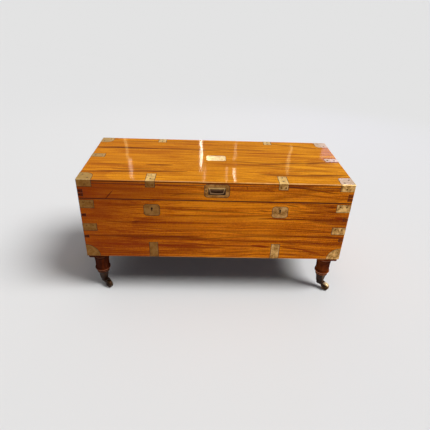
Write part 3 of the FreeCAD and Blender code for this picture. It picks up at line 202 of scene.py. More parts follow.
def makeStreakGroup():
    group = bpy.data.node_groups.new("figureStreak", "ShaderNodeTree")
    for name, kind in (("Point", "Vector"), ("Start", "Vector"), ("End", "Vector"), ("Width", "Float")):
        group.interface.new_socket(name, in_out="INPUT", socket_type="NodeSocket" + kind)
    group.interface.new_socket("Mask", in_out="OUTPUT", socket_type="NodeSocketFloat")
    given = addNode(group, "NodeGroupInput").outputs
    run = vectorCalc(group, "SUBTRACT", given["End"], given["Start"])
    reach = vectorCalc(group, "SUBTRACT", given["Point"], given["Start"])
    dotRun = vectorCalc(group, "DOT_PRODUCT", run, run, output="Value")
    dotReach = vectorCalc(group, "DOT_PRODUCT", reach, run, output="Value")
    share = calc(group, "DIVIDE", dotReach, dotRun, clamp=True)
    foot = addNode(group, "ShaderNodeVectorMath", {0: run, "Scale": share}, operation="SCALE").outputs[0]
    gap = vectorCalc(group, "LENGTH", vectorCalc(group, "SUBTRACT", reach, foot), output="Value")
    taper = calc(group, "MULTIPLY", share, calc(group, "SUBTRACT", 1.0, share))
    wide = calc(group, "ADD", calc(group, "MULTIPLY", taper, streakShape["swell"]), streakShape["blunt"])
    wide = calc(group, "MULTIPLY", given["Width"], wide)
    near = calc(group, "SUBTRACT", 1.0, calc(group, "DIVIDE", gap, wide), clamp=True)
    addNode(group, "NodeGroupOutput", {"Mask": stretch(group, near, 0.0, streakShape["fullFrom"])})
    return group


streakGroup = makeStreakGroup()

# Camphor wood, French-polished. Grain runs along X in the long boards and the top, along Y in the ends
camphorBase = {
    "grain": 0,  # the axis of the grain
    "flat": (1, 0, 1),  # the axes that the face lies in
    "offset": (0, 0, 0),
    "dark": (0.24, 0.032, 0.001),
    "middle": (0.61, 0.138, 0.002),
    "light": (0.95, 0.305, 0.008),
    "stops": (0.24, 0.47, 0.74),
    "lateWood": (0.20, 0.024, 0.001),
    "redder": (0.26, 0.032, 0.001),
    "redFrom": -0.62,
    "redTo": 0.02,
    "redShare": 0.75,
    "ringStretch": 0.10,  # each stretch is a noise's scale along the grain
    "ringScale": 5.0,
    "ringCount": 15.0,
    "ringDark": 0.36,
    "swayScale": 3.2,
    "swayReach": (0.05, 0.05, 0.05),
    "driftStretch": 0.6,
    "driftScale": 3.4,
    "driftReach": (0.03, 0.03, 0.03),
    "fibreStretch": 0.011,
    "threads": 110.0,
    "fibre": 0.85,
    "pores": 430.0,
    "poreDark": 0.22,
    "hairStretch": 0.0045,
    "hairs": 330.0,
    "hairShare": 1.10,
    "patchStretch": 0.46,
    "patches": 5.5,
    "patch": 0.60,
    "mottles": 300.0,
    "mottle": 0.55,
    "fleckStretch": 0.03,
    "fleckOffset": (3.3, 1.1, 6.2),
    "flecks": 260.0,
    "fleckDark": 0.28,
    "streakBend": 6.0,
    "streakReach": (0, 0.016, 0.016),
    "streaks": (),
    "lines": (),
    "coat": 0.11,
    "coatRoughness": 0.05,
    "roughness": 0.42,
    "relief": 0.00012,
    "waves": 4.5,
    "wave": 0.0016,
    "ripples": 17.0,
    "ripple": 0.00035,
    "threadInCoat": 0.000008,
}


def camphor(name, **changes):
    look = {**camphorBase, **changes}
    grain, offset = look["grain"], look["offset"]
    material, tree, shader, place = startPolished(name, look["coat"], look["coatRoughness"])
    board = scaled(tree, place, squeezed(grain, look["ringStretch"]), offset)
    slow = scaled(tree, place, squeezed(grain, look["driftStretch"]), offset)
    sway = wander(tree, board, look["swayScale"], 2.0, look["swayReach"])
    drift = wander(tree, slow, look["driftScale"], 1.0, look["driftReach"])
    swayed = vectorCalc(tree, "ADD", vectorCalc(tree, "ADD", board, sway), drift)
    bent = vectorCalc(tree, "ADD", place, vectorCalc(tree, "ADD", sway, drift))
    # growth rings: contours of a long soft field, each with a sharp late-wood line
    field = calc(tree, "MULTIPLY", noise(tree, swayed, look["ringScale"], 2.0, 0.42), look["ringCount"])
    ring = calc(tree, "FRACT", field)
    late = calc(tree, "MULTIPLY", stretch(tree, ring, 0.35, 0.93), stretch(tree, ring, 0.93, 1.0, 1.0, 0.0))
    # fibres, pores, long hairs and short flecks along the grain, and patches and mottle across it
    fibres = scaled(tree, bent, squeezed(grain, look["fibreStretch"]), offset)
    strands = scaled(tree, bent, squeezed(grain, look["hairStretch"]), offset)
    dashes = scaled(tree, bent, squeezed(grain, look["fleckStretch"]), look["fleckOffset"])
    thread = noise(tree, fibres, look["threads"], 3.0, 0.62)
    pore = noise(tree, fibres, look["pores"], 2.0, 0.6)
    hair = noise(tree, strands, look["hairs"], 2.0, 0.7)
    fleck = noise(tree, dashes, look["flecks"], 2.0, 0.6)
    patch = noise(tree, scaled(tree, place, squeezed(grain, look["patchStretch"]), offset), look["patches"])
    mottle = noise(tree, place, look["mottles"], 2.0, 0.6)
    value = swing(tree, thread, look["fibre"])
    for part, share in ((hair, look["hairShare"]), (patch, look["patch"]), (mottle, look["mottle"])):
        value = calc(tree, "ADD", value, swing(tree, part, share))
    value = calc(tree, "ADD", value, 0.5)
    colour = ramp(tree, value, list(zip(look["stops"], (look["dark"], look["middle"], look["light"]))))
    flecked = calc(tree, "MULTIPLY", stretch(tree, fleck, 0.50, 0.70), look["fleckDark"])
    colour = blend(tree, flecked, colour, look["dark"])
    colour = blend(tree, calc(tree, "MULTIPLY", late, look["ringDark"]), colour, look["lateWood"])
    pitted = calc(tree, "MULTIPLY", stretch(tree, pore, 0.60, 0.72), look["poreDark"])
    colour = blend(tree, pitted, colour, look["dark"])
    # redder and darker towards the left end: painted shade laid across the board
    across, _, height = axesOf(tree, place)
    red = stretch(tree, across, look["redFrom"], look["redTo"], look["redShare"], 0.0)
    colour = blend(tree, red, colour, look["redder"])
    # the board's own streaks of dark figure
    wide = vectorCalc(tree, "MULTIPLY", place, [look["streakBend"]] * 3)
    bend = wander(tree, wide, 1.0, 2.0, look["streakReach"])
    flatPlace = vectorCalc(tree, "MULTIPLY", vectorCalc(tree, "ADD", place, bend), look["flat"])
    for start, end, width, strength, stain in look["streaks"]:
        given = {"Point": flatPlace, "Start": start, "End": end, "Width": width}
        streak = addNode(tree, "ShaderNodeGroup", given, node_tree=streakGroup)
        broken = calc(tree, "MULTIPLY", streak.outputs["Mask"], stretch(tree, thread, 0.25, 0.55, 0.45, 1.0))
        colour = blend(tree, calc(tree, "MULTIPLY", broken, strength), colour, stain)
    # dirt along the seam, a dark line just under the top's arris, and a painted highlight along the front's
    # bottom arris: straight lines at one height, stronger at one end
    for level, half, atLeft, atRight, lineColour in look["lines"]:
        line = heightLine(tree, height, level, half, 0.35)
        line = calc(tree, "MULTIPLY", line, stretch(tree, across, -0.45, 0.35, atLeft, atRight))
        line = calc(tree, "MULTIPLY", line, stretch(tree, patch, 0.32, 0.56, 0.72, 1.0))
        colour = blend(tree, line, colour, lineColour)
    rough = calc(tree, "ADD", calc(tree, "MULTIPLY", thread, 0.16), look["roughness"] - 0.08)
    grainNormal = bump(tree, weighed(tree, thread, 0.7, pore, 0.3), look["relief"], 0.6)
    shifted = scaled(tree, place, (1.0, 1.0, 1.0), offset)
    coatNormal = bump(tree, noise(tree, shifted, look["waves"], 1.5), look["wave"])
    coatNormal = bump(tree, noise(tree, shifted, look["ripples"], 1.0), look["ripple"], 1.0, coatNormal)
    coatNormal = bump(tree, thread, look["threadInCoat"], 1.0, coatNormal)
    joinTo(tree, shader, Base_Color=colour, Roughness=rough, Normal=grainNormal, Coat_Normal=coatNormal)
    return material


seamDark = (0.045, 0.006, 0.001)
# a pale painted highlight for the front's bottom arris
paintedEdgeHighlight = (0.92, 0.46, 0.13)
darkFigure = (0.13, 0.018, 0.001)
redFigure = (0.24, 0.020, 0.001)
scratchDark = (0.05, 0.008, 0.001)


# A streak on the top lies in X and Y, one on the front in X and Z
def onTop(x0, y0, x1, y1, width, strength, stain=darkFigure):
    return ((x0, y0, 0), (x1, y1, 0), width, strength, stain)


def onFront(x0, z0, x1, z1, width, strength, stain=darkFigure):
    return ((x0, 0, z0), (x1, 0, z1), width, strength, stain)


topStreaks = (
    onTop(-0.56, 0.106, -0.26, 0.103, 0.016, 1.00),
    onTop(-0.36, 0.104, 0.02, 0.100, 0.013, 0.70),
    onTop(-0.52, -0.086, -0.36, -0.080, 0.012, 0.55),
    onTop(-0.290, -0.084, -0.180, -0.080, 0.013, 0.70),
    onTop(-0.53, -0.160, -0.12, -0.142, 0.013, 0.90),
    onTop(-0.42, -0.128, -0.24, -0.124, 0.009, 0.55),
    onTop(0.06, -0.020, 0.26, -0.052, 0.015, 0.45),
    onTop(0.18, -0.050, 0.34, -0.032, 0.015, 0.50),
    onTop(0.27, -0.034, 0.44, -0.030, 0.016, 0.60),
    onTop(0.38, -0.036, 0.53, -0.004, 0.018, 0.55),
    onTop(0.08, -0.056, 0.32, -0.078, 0.014, 0.50),
    onTop(0.17, -0.152, 0.35, -0.162, 0.012, 0.75),
    onTop(0.30, -0.164, 0.53, -0.146, 0.015, 0.85),
    onTop(0.28, -0.116, 0.50, -0.104, 0.012, 0.50),
    onTop(0.24, 0.204, 0.47, 0.160, 0.013, 0.55),
    onTop(-0.54, 0.182, -0.02, 0.206, 0.012, 0.50),
    onTop(-0.02, 0.128, 0.24, 0.112, 0.011, 0.40),
)
frontStreaks = (
    onFront(-0.46, 0.436, -0.25, 0.435, 0.007, 0.60),
    onFront(-0.47, 0.361, -0.20, 0.354, 0.006, 0.55),
    onFront(-0.335, 0.360, -0.305, 0.359, 0.008, 0.75),
    onFront(-0.53, 0.291, 0.02, 0.286, 0.011, 0.60),
    onFront(-0.48, 0.252, 0.04, 0.240, 0.013, 0.65, redFigure),
    onFront(-0.24, 0.423, 0.03, 0.416, 0.007, 0.55),
    onFront(-0.08, 0.4206, 0.183, 0.4082, 0.005, 0.60),
    onFront(0.17, 0.384, 0.36, 0.383, 0.007, 0.60),
    onFront(0.30, 0.386, 0.545, 0.374, 0.008, 0.65),
    onFront(-0.02, 0.288, 0.54, 0.309, 0.007, 0.45),
    onFront(0.425, 0.4445, 0.482, 0.4405, 0.008, 0.80),
    onFront(-0.10, 0.218, 0.16, 0.214, 0.007, 0.45, redFigure),
    onFront(0.36, 0.330, 0.52, 0.322, 0.006, 0.45),
    # dark marks beside the mounts; the one under the right-hand escutcheon is a painted shadow
    onFront(0.438, 0.4236, 0.488, 0.4132, 0.006, 0.65),
    onFront(0.476, 0.3920, 0.530, 0.3837, 0.008, 0.85, redFigure),
    onFront(0.169, 0.4244, 0.206, 0.4161, 0.006, 0.60),
    # painted shadow under the right-hand escutcheon
    onFront(0.201, 0.3854, 0.303, 0.3811, 0.006, 0.70, redFigure),
    onFront(0.278, 0.4450, 0.331, 0.4372, 0.005, 0.55),
    onFront(0.293, 0.4226, 0.440, 0.4075, 0.005, 0.55),
    onFront(0.150, 0.2509, 0.232, 0.2453, 0.010, 0.90, redFigure),
    onFront(0.187, 0.2738, 0.229, 0.2706, 0.006, 0.65, redFigure),
    onFront(0.269, 0.2512, 0.369, 0.2368, 0.009, 0.80, redFigure),
    onFront(0.275, 0.2706, 0.339, 0.2648, 0.006, 0.55),
    onFront(0.351, 0.2416, 0.468, 0.2054, 0.010, 0.70, redFigure),
    onFront(-0.236, 0.2611, 0.000, 0.2549, 0.008, 0.75, redFigure),
    onFront(-0.062, 0.2536, 0.224, 0.2441, 0.008, 0.70, redFigure),
    onFront(0.425, 0.3066, 0.541, 0.2921, 0.006, 0.60),
)
lidFrontStreaks = (
    onFront(-0.399, 0.497, -0.436, 0.452, 0.0035, 0.85, scratchDark),
    onFront(0.1125, 0.5275, 0.1185, 0.512, 0.003, 0.75, scratchDark),
    onFront(-0.50, 0.507, -0.28, 0.505, 0.006, 0.35),
    onFront(0.248, 0.5301, 0.471, 0.5027, 0.006, 0.80),
    onFront(0.180, 0.5174, 0.224, 0.5055, 0.007, 0.60),
    onFront(0.256, 0.4994, 0.482, 0.4828, 0.006, 0.50, redFigure),
    onFront(0.38, 0.520, 0.52, 0.512, 0.006, 0.45),
    onFront(-0.22, 0.487, 0.06, 0.491, 0.006, 0.35),
    onFront(-0.181, 0.4786, -0.119, 0.4909, 0.005, 0.50),
    onFront(-0.259, 0.4660, -0.065, 0.4650, 0.006, 0.50, redFigure),
)
# height, half width, strength at the left and at the right, colour
frontLines = ((0.4600, 0.0024, 0.75, 0.95, seamDark), (0.1898, 0.0016, 0.10, 0.75, paintedEdgeHighlight))
lidLines = ((0.4612, 0.0026, 0.75, 1.00, seamDark), (0.5362, 0.0030, 1.00, 0.60, seamDark))
# The top's paler, more golden colours: its own lighter tone, and painted light on the face that looks up to
# the light
goldenLitTop = {
    "dark": (0.38, 0.085, 0.001),
    "middle": (0.66, 0.225, 0.004),
    "light": (0.92, 0.380, 0.012),
    "lateWood": (0.34, 0.070, 0.001),
    "redder": (0.52, 0.120, 0.002),
    "redShare": 0.25,
}
dustyUnder = {
    "dark": (0.026, 0.019, 0.014),
    "middle": (0.060, 0.046, 0.036),
    "light": (0.100, 0.080, 0.063),
    "lateWood": (0.024, 0.017, 0.012),
    "redder": (0.050, 0.036, 0.026),
    "redShare": 0.2,
}
# Paler wood on the eased outer arrises: polish worn through, and a painted highlight along the edges
wornAndLitArris = {
    "dark": (0.52, 0.150, 0.012),
    "middle": (0.86, 0.400, 0.090),
    "light": (0.98, 0.620, 0.260),
    "lateWood": (0.50, 0.150, 0.012),
    "redder": (0.50, 0.130, 0.006),
    "redFrom": -0.50,
    "redTo": 0.10,
    "redShare": 0.85,
    "fleckDark": 0.35,
}
woods = {
    "front": camphor("camphorFront", offset=(3.1, 0.4, 1.3), streaks=frontStreaks, lines=frontLines),
    "lidFront": camphor(
        "camphorLidFront",
        offset=(7.7, 1.9, 2.2),
        streaks=lidFrontStreaks,
        lines=lidLines,
        ringDark=0.35,
        redShare=0.95,
        redFrom=-0.66,
        redTo=0.16,
    ),
    "back": camphor("camphorBack", offset=(12.4, 5.2, 3.1)),
    "end": camphor("camphorEnd", grain=1, flat=(0, 1, 1), offset=(2.2, 8.4, 5.9), redShare=0.25),
    "top": camphor(
        "camphorTop",
        flat=(1, 1, 0),
        offset=(5.6, 2.7, 9.1),
        streaks=topStreaks,
        ringScale=4.2,
        wave=0.0014,
        ripple=0.00012,
        **goldenLitTop,
    ),
    "under": camphor("camphorUnder", offset=(9.9, 6.1, 0.7), coat=0.0, roughness=0.7, wave=0.0, **dustyUnder),
    "arris": camphor("camphorArris", offset=(1.9, 3.1, 8.7), ringDark=0.1, **wornAndLitArris),
}
print("camphor wood mixed")


# The polished ends of the dovetails and boards: dark, with rings and pores seen end on
endGrainLook = {
    "rings": 14.0,
    "ringCount": 12.0,
    "pores": 900.0,
    "colours": [(0.0, (0.14, 0.018, 0.001)), (0.75, (0.09, 0.011, 0.001)), (1.0, (0.045, 0.006, 0.001))],
    "pit": (0.02, 0.005, 0.001),
    "paintedLightRight": (0.32, 0.060, 0.003),
    "coat": 0.05,
    "coatRoughness": 0.08,
}


def endGrain(name):
    look = endGrainLook
    material, tree, shader, place = startPolished(name, look["coat"], look["coatRoughness"])
    field = calc(tree, "MULTIPLY", noise(tree, place, look["rings"]), look["ringCount"])
    pore = noise(tree, place, look["pores"], 2.0, 0.6)
    colour = ramp(tree, calc(tree, "FRACT", field), look["colours"])
    colour = blend(tree, stretch(tree, pore, 0.55, 0.68, 0.0, 0.5), colour, look["pit"])
    # painted light: the end grain grows paler towards the right-hand end
    paintedLightShare = stretch(tree, axesOf(tree, place)[0], 0.0, 0.52, 0.0, 0.65)
    colour = blend(tree, paintedLightShare, colour, look["paintedLightRight"])
    joinTo(tree, shader, Base_Color=colour, Roughness=stretch(tree, pore, 0.3, 0.7, 0.45, 0.65))
    joinTo(tree, shader, Normal=bump(tree, pore, 0.00015, 0.6))
    return material


# Bare camphor inside the chest: browner and duller, dry and dusty in the pores
bareLook = {
    "stretch": 0.03,
    "offset": (4.0, 1.0, 2.0),
    "threads": 90.0,
    "patches": 5.0,
    "colours": [(0.32, (0.15, 0.050, 0.016)), (0.5, (0.36, 0.150, 0.052)), (0.68, (0.54, 0.265, 0.110))],
}


def bareCamphor(name, grain):
    look = bareLook
    material, tree, shader, place = startMaterial(name, IOR=1.45, Specular_IOR_Level=0.15)
    fibres = scaled(tree, place, squeezed(grain, look["stretch"]), look["offset"])
    thread = noise(tree, fibres, look["threads"], 3.0, 0.7)
    patch = noise(tree, place, look["patches"])
    colour = ramp(tree, weighed(tree, thread, 0.8, patch, 0.2), look["colours"])
    joinTo(tree, shader, Base_Color=colour, Roughness=stretch(tree, thread, 0.3, 0.7, 0.62, 0.8))
    joinTo(tree, shader, Normal=bump(tree, thread, 0.00025, 0.7))
    return material


# Old wax and dirt in the joint round each piece of brass; the same dark colour is painted shade on the
# keyhole walls and the left front arris
def oldWaxAndShade(name):
    material, tree, shader, place = startMaterial(name, IOR=1.4, Specular_IOR_Level=0.3)
    speck = noise(tree, place, 160.0, 3.0, 0.6)
    colour = ramp(tree, speck, [(0.3, (0.012, 0.005, 0.002)), (0.7, (0.060, 0.022, 0.006))])
    joinTo(tree, shader, Base_Color=colour, Roughness=stretch(tree, speck, 0.3, 0.7, 0.5, 0.75))
    joinTo(tree, shader, Normal=bump(tree, speck, 0.0003, 0.6))
    return material


# Brass with a worn polish: tarnish in patches, fine rubbing marks, a few darker spots, and where asked,
# tints, painted shade and painted highlights laid by height and by side
brassBase = {
    "bright": (0.82, 0.49, 0.170),
    "worn": (0.54, 0.28, 0.080),
    "tarnish": (0.17, 0.064, 0.011),
    "tarnishShare": 0.42,
    "paintedShadeLeft": 0.0,  # painted shade: how much darker it is left of fadeFrom, easing off to nothing at fadeTo
    "fadeFrom": -0.30,
    "fadeTo": 0.52,
    "paintedShadeRight": None,  # a colour laid over the right-hand end as painted shade
    "tintBelow": None,  # height where the tint laid below is full, height where it is gone, colour
    "paintedTopHighlight": None,  # height of no painted highlight, height of the full one, colour
    "metal": 1.0,
    "roughness": 0.30,
    "patchScale": 52.0,
    "fineScale": 260.0,
    "rubScale": 320.0,
    "rubStretch": (1.0, 6.0, 6.0),
    "dents": 0.0005,
    "rubDepth": 0.00003,
}


def agedBrass(name, **changes):
    look = {**brassBase, **changes}
    material, tree, shader, place = startMaterial(name, Metallic=look["metal"], Specular_IOR_Level=0.2)
    patch = noise(tree, place, look["patchScale"], 3.0, 0.6)
    fine = noise(tree, place, look["fineScale"], 3.0, 0.65)
    rubbed = noise(tree, scaled(tree, place, look["rubStretch"]), look["rubScale"], 2.0, 0.6)
    colour = blend(tree, stretch(tree, patch, 0.35, 0.62), (*look["bright"], 1), look["worn"])
    edge = 0.66 - 0.3 * look["tarnishShare"]
    stain = weighed(tree, patch, 0.45, fine, 0.55)
    colour = blend(tree, stretch(tree, stain, edge - 0.06, edge + 0.12), colour, look["tarnish"])
    across, _, height = axesOf(tree, place)
    # a tint laid below a height: painted shade in the handle's cup and on the bail, a lighter brass on the
    # low screws
    if look["tintBelow"]:
        low, high, tintBelow = look["tintBelow"]
        colour = blend(tree, stretch(tree, height, low, high, 1.0, 0.0), colour, tintBelow)
    # painted highlight on the top, towards the right
    if look["paintedTopHighlight"]:
        low, high, highlightColour = look["paintedTopHighlight"]
        glow = calc(tree, "MULTIPLY", stretch(tree, height, low, high), stretch(tree, across, 0.0, 0.3))
        colour = blend(tree, glow, colour, highlightColour)
    # painted shade towards the left end, in the tarnish colour
    if look["paintedShadeLeft"]:
        dull = stretch(tree, across, look["fadeFrom"], look["fadeTo"], look["paintedShadeLeft"], 0.0)
        colour = blend(tree, dull, colour, look["tarnish"])
    # painted shade over the right-hand end
    if look["paintedShadeRight"]:
        colour = blend(tree, stretch(tree, across, 0.40, 0.50, 0.0, 0.9), colour, look["paintedShadeRight"])
    rough = calc(tree, "ADD", calc(tree, "MULTIPLY", fine, 0.30), look["roughness"] - 0.13)
    relief = bump(tree, patch, look["dents"], 0.8)
    relief = bump(tree, rubbed, look["rubDepth"], 0.8, relief)
    joinTo(tree, shader, Base_Color=colour, Roughness=rough, Normal=relief)
    return material


# the fade towards the left in these looks is painted shade
brassLooks = {
    "mount": ("brassMounts", {"paintedShadeLeft": 0.85}),
    # the lid mounts' upward faces: a brighter copy of the mounts' brass, painted light, with painted shade at
    # the left front corner and over the right-hand end
    "lidMount": (
        "brassLidTop",
        {
            "bright": (0.90, 0.58, 0.17),
            "worn": (0.66, 0.37, 0.080),
            "tarnish": (0.44, 0.225, 0.022),
            "tarnishShare": 0.25,
            "paintedShadeLeft": 0.80,
            "fadeFrom": -0.53,
            "fadeTo": -0.38,
            "paintedShadeRight": (0.50, 0.36, 0.15),
        },
    ),
    # rubbed brass on the lid mounts' arrises: wear, and a painted highlight along the edges
    "rubbed": (
        "brassArrises",
        {"bright": (0.92, 0.66, 0.30), "worn": (0.80, 0.50, 0.18), "tarnishShare": 0.0, "paintedShadeLeft": 0.15},
    ),
    "plate": (
        "brassNamePlate",
        {"bright": (0.74, 0.53, 0.26), "worn": (0.62, 0.40, 0.16), "tarnishShare": 0.1, "roughness": 0.26},
    ),
    "handle": (
        "brassHandles",
        {"bright": (0.42, 0.20, 0.056), "worn": (0.30, 0.13, 0.032), "tarnishShare": 0.45},
    ),
    "cup": (
        "brassHandleCup",
        {
            "bright": (0.62, 0.40, 0.13),
            "worn": (0.48, 0.29, 0.085),
            "tarnishShare": 0.3,
            # painted shade low in the cup
            "tintBelow": (0.5040, 0.5068, (0.16, 0.085, 0.045)),
            "roughness": 0.42,
        },
    ),
    "bail": (
        "brassBail",
        {
            "bright": (0.66, 0.42, 0.16),
            "worn": (0.52, 0.32, 0.11),
            "tarnishShare": 0.15,
            # painted shade on the bail's lower part
            "tintBelow": (0.5060, 0.5100, (0.33, 0.19, 0.095)),
        },
    ),
    "escutcheon": (
        "brassEscutcheons",
        {"bright": (0.66, 0.36, 0.12), "worn": (0.50, 0.25, 0.075), "paintedShadeLeft": 0.75},
    ),
    "screw": (
        "brassScrews",
        {
            "bright": (0.24, 0.115, 0.032),
            "worn": (0.10, 0.045, 0.012),
            "tarnishShare": 0.6,
            "tintBelow": (0.262, 0.266, (0.52, 0.29, 0.085)),
            "paintedShadeLeft": 0.7,
        },
    ),
    "hinge": ("brassHinges", {"bright": (0.55, 0.34, 0.13), "tarnishShare": 0.5, "roughness": 0.38}),
    "lock": ("brassLocks", {"bright": (0.50, 0.31, 0.12), "tarnishShare": 0.55, "roughness": 0.36}),
    # near-black brass for the lock's faces seen through the keyholes: painted shade
    "lockInside": (
        "brassLockInside",
        {
            "bright": (0.020, 0.010, 0.005),
            "worn": (0.010, 0.005, 0.002),
            "tarnish": (0.006, 0.003, 0.001),
            "roughness": 0.55,
        },
    ),
    "castor": (
        "castorBronze",
        {
            "bright": (0.050, 0.018, 0.005),
            "worn": (0.020, 0.006, 0.002),
            "tarnish": (0.008, 0.003, 0.001),
            "tarnishShare": 0.3,
            "metal": 0.3,
            "roughness": 0.40,
        },
    ),
    "wheel": (
        "castorWheelBrass",
        {
            "bright": (0.30, 0.16, 0.060),
            "worn": (0.10, 0.045, 0.015),
            "tarnish": (0.030, 0.013, 0.006),
            "tarnishShare": 0.45,
            # painted shade on the left-hand wheels
            "paintedShadeLeft": 0.85,
            "fadeFrom": -0.40,
            "fadeTo": 0.40,
            # painted highlight on the top of the right-hand wheels
            "paintedTopHighlight": (0.0235, 0.0290, (0.85, 0.62, 0.34)),
            "metal": 0.8,
            "roughness": 0.28,
        },
    ),
}
brasses = {key: agedBrass(name, **changes) for key, (name, changes) in brassLooks.items()}


# The legs and their pads: mahogany stained almost black, with a painted red glow of light on the right-hand
# legs and painted highlight rings
legLook = {
    "stretch": (1.0, 1.0, 0.10),
    "offset": (1.0, 3.0, 5.0),
    "threads": 130.0,
    "patches": 16.0,
    "colours": [(0.30, (0.020, 0.003, 0.001)), (0.52, (0.065, 0.010, 0.002)), (0.75, (0.150, 0.028, 0.004))],
    # rubbed is painted light for the right-hand legs, ring a painted highlight and groove a painted shade
    "rubbed": (0.30, 0.060, 0.006),
    "ring": (0.80, 0.36, 0.20),
    "groove": (0.010, 0.002, 0.001),
    # height, half width and strength of the painted highlight rings, height and half width of the grooves'
    # painted shade
    "rings": ((0.1655, 0.0022, 0.55), (0.0975, 0.0020, 0.75), (0.0850, 0.0016, 0.60)),
    "grooves": ((0.1600, 0.0018), (0.1080, 0.0014), (0.0915, 0.0022)),
    "coat": 0.06,
    "coatRoughness": 0.09,
}


def darkMahogany(name):
    look = legLook
    material, tree, shader, place = startPolished(name, look["coat"], look["coatRoughness"])
    fibres = scaled(tree, place, look["stretch"], look["offset"])
    across, _, height = axesOf(tree, place)
    thread = noise(tree, fibres, look["threads"], 3.0, 0.6)
    patch = noise(tree, place, look["patches"])
    colour = ramp(tree, weighed(tree, thread, 0.55, patch, 0.45), look["colours"])
    # painted light: paler on the right-hand legs; painted highlights: pale rings beside the collar and the
    # bead, stronger on the right
    rubbed = stretch(tree, across, -0.30, 0.45, 0.0, 0.50)
    rubbed = calc(tree, "MULTIPLY", rubbed, stretch(tree, patch, 0.35, 0.6))
    colour = blend(tree, rubbed, colour, look["rubbed"])
    for level, half, strength in look["rings"]:
        ring = heightLine(tree, height, level, half, 0.4, strength)
        ring = calc(tree, "MULTIPLY", ring, stretch(tree, across, -0.45, 0.45, 0.45, 1.0))
        colour = blend(tree, ring, colour, look["ring"])
    # painted shade in the grooves
    for level, half in look["grooves"]:
        colour = blend(tree, heightLine(tree, height, level, half, 0.4, 0.85), colour, look["groove"])
    joinTo(tree, shader, Base_Color=colour, Roughness=stretch(tree, thread, 0.3, 0.7, 0.38, 0.52))
    joinTo(tree, shader, Normal=bump(tree, thread, 0.00015, 0.6))
    return material


woods["endGrain"] = endGrain("endGrain")
woods["inside"] = bareCamphor("camphorInside", 0)
woods["insideEnds"] = bareCamphor("camphorInsideEnds", 1)
woods["leg"] = darkMahogany("legMahogany")
waxAndShadeMaterial = oldWaxAndShade("oldWaxAndShade")
print("brass, mahogany and wax mixed")

# A copy of a CAD node with its edges eased takes the node's place: its outer arrises are rounded and
# its other edges broken, and each face gets its material by its place and by the way it leans
easing = {
    "sharpAngle": 30,
    "mergeWithin": 0.000002,
    "flatWithin": 0.4,
    "smoothBelow": 40,
    "arrisSlack": 0.0004,
    "faceSlack": 0.0030,
    # an eased edge's faces lean, so the largest part of their normal lies between these
    "leanFrom": 0.30,
    "leanTo": 0.985,
    "waxLeanTo": 0.97,
    "endOn": 0.9,
}


# How many of the chest's outer faces a point is near
def nearOuter(point, slack):
    outer = abs(abs(point.x) - chest["endFace"]) < slack
    outer += abs(abs(point.y) - chest["longFace"]) < slack
    outer += abs(point.z - chest["lidTop"]) < slack or abs(point.z - chest["caseBottom"]) < slack
    return outer


def inHollow(point):
    inside = abs(point.x) < chest["hollowEnd"] and abs(point.y) < chest["hollowLong"]
    return inside and chest["hollowBottom"] < point.z < chest["hollowTop"]


# Painted shade: the walls of the two keyholes are coloured black
keyhole = {"fromMiddle": 0.254, "height": 0.421, "reach": 0.0085, "backTo": -0.2}


def inKeyhole(face):
    across = abs(abs(face.center.x) - keyhole["fromMiddle"])
    near = math.hypot(across, face.center.z - keyhole["height"]) < keyhole["reach"]
    return near and face.center.y < keyhole["backTo"] and abs(face.normal.y) < 0.5


def leanOf(face):
    return max(abs(value) for value in face.normal)


# Painted shade: the upright arris at the left front is coloured dark
def onLeftArris(face):
    slack = easing["faceSlack"]
    atEnd = face.center.x < slack - chest["endFace"]
    atFront = face.center.y < slack - chest["longFace"]
    return atEnd and atFront and leanOf(face) < easing["leanTo"] and abs(face.normal.z) < 0.3


def mergedCopy(node):
    mesh = bmesh.new()
    mesh.from_mesh(nodes[node].data)
    bmesh.ops.remove_doubles(mesh, verts=mesh.verts, dist=easing["mergeWithin"])
    return mesh


def cornersOf(points):
    low = Vector([min(point[axis] for point in points) for axis in range(3)])
    high = Vector([max(point[axis] for point in points) for axis in range(3)])
    return low, high


def finishMesh(name, thing, materials):
    graph = bpy.context.evaluated_depsgraph_get()
    mesh = bpy.data.meshes.new_from_object(thing.evaluated_get(graph))
    mesh.name = name
    thing.modifiers.clear()
    thing.data = mesh
    mesh.materials.clear()
    for material in materials:
        mesh.materials.append(material)
    return mesh


def standFor(thing, node):
    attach(thing, nodes[node]["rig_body"])
    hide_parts(node)


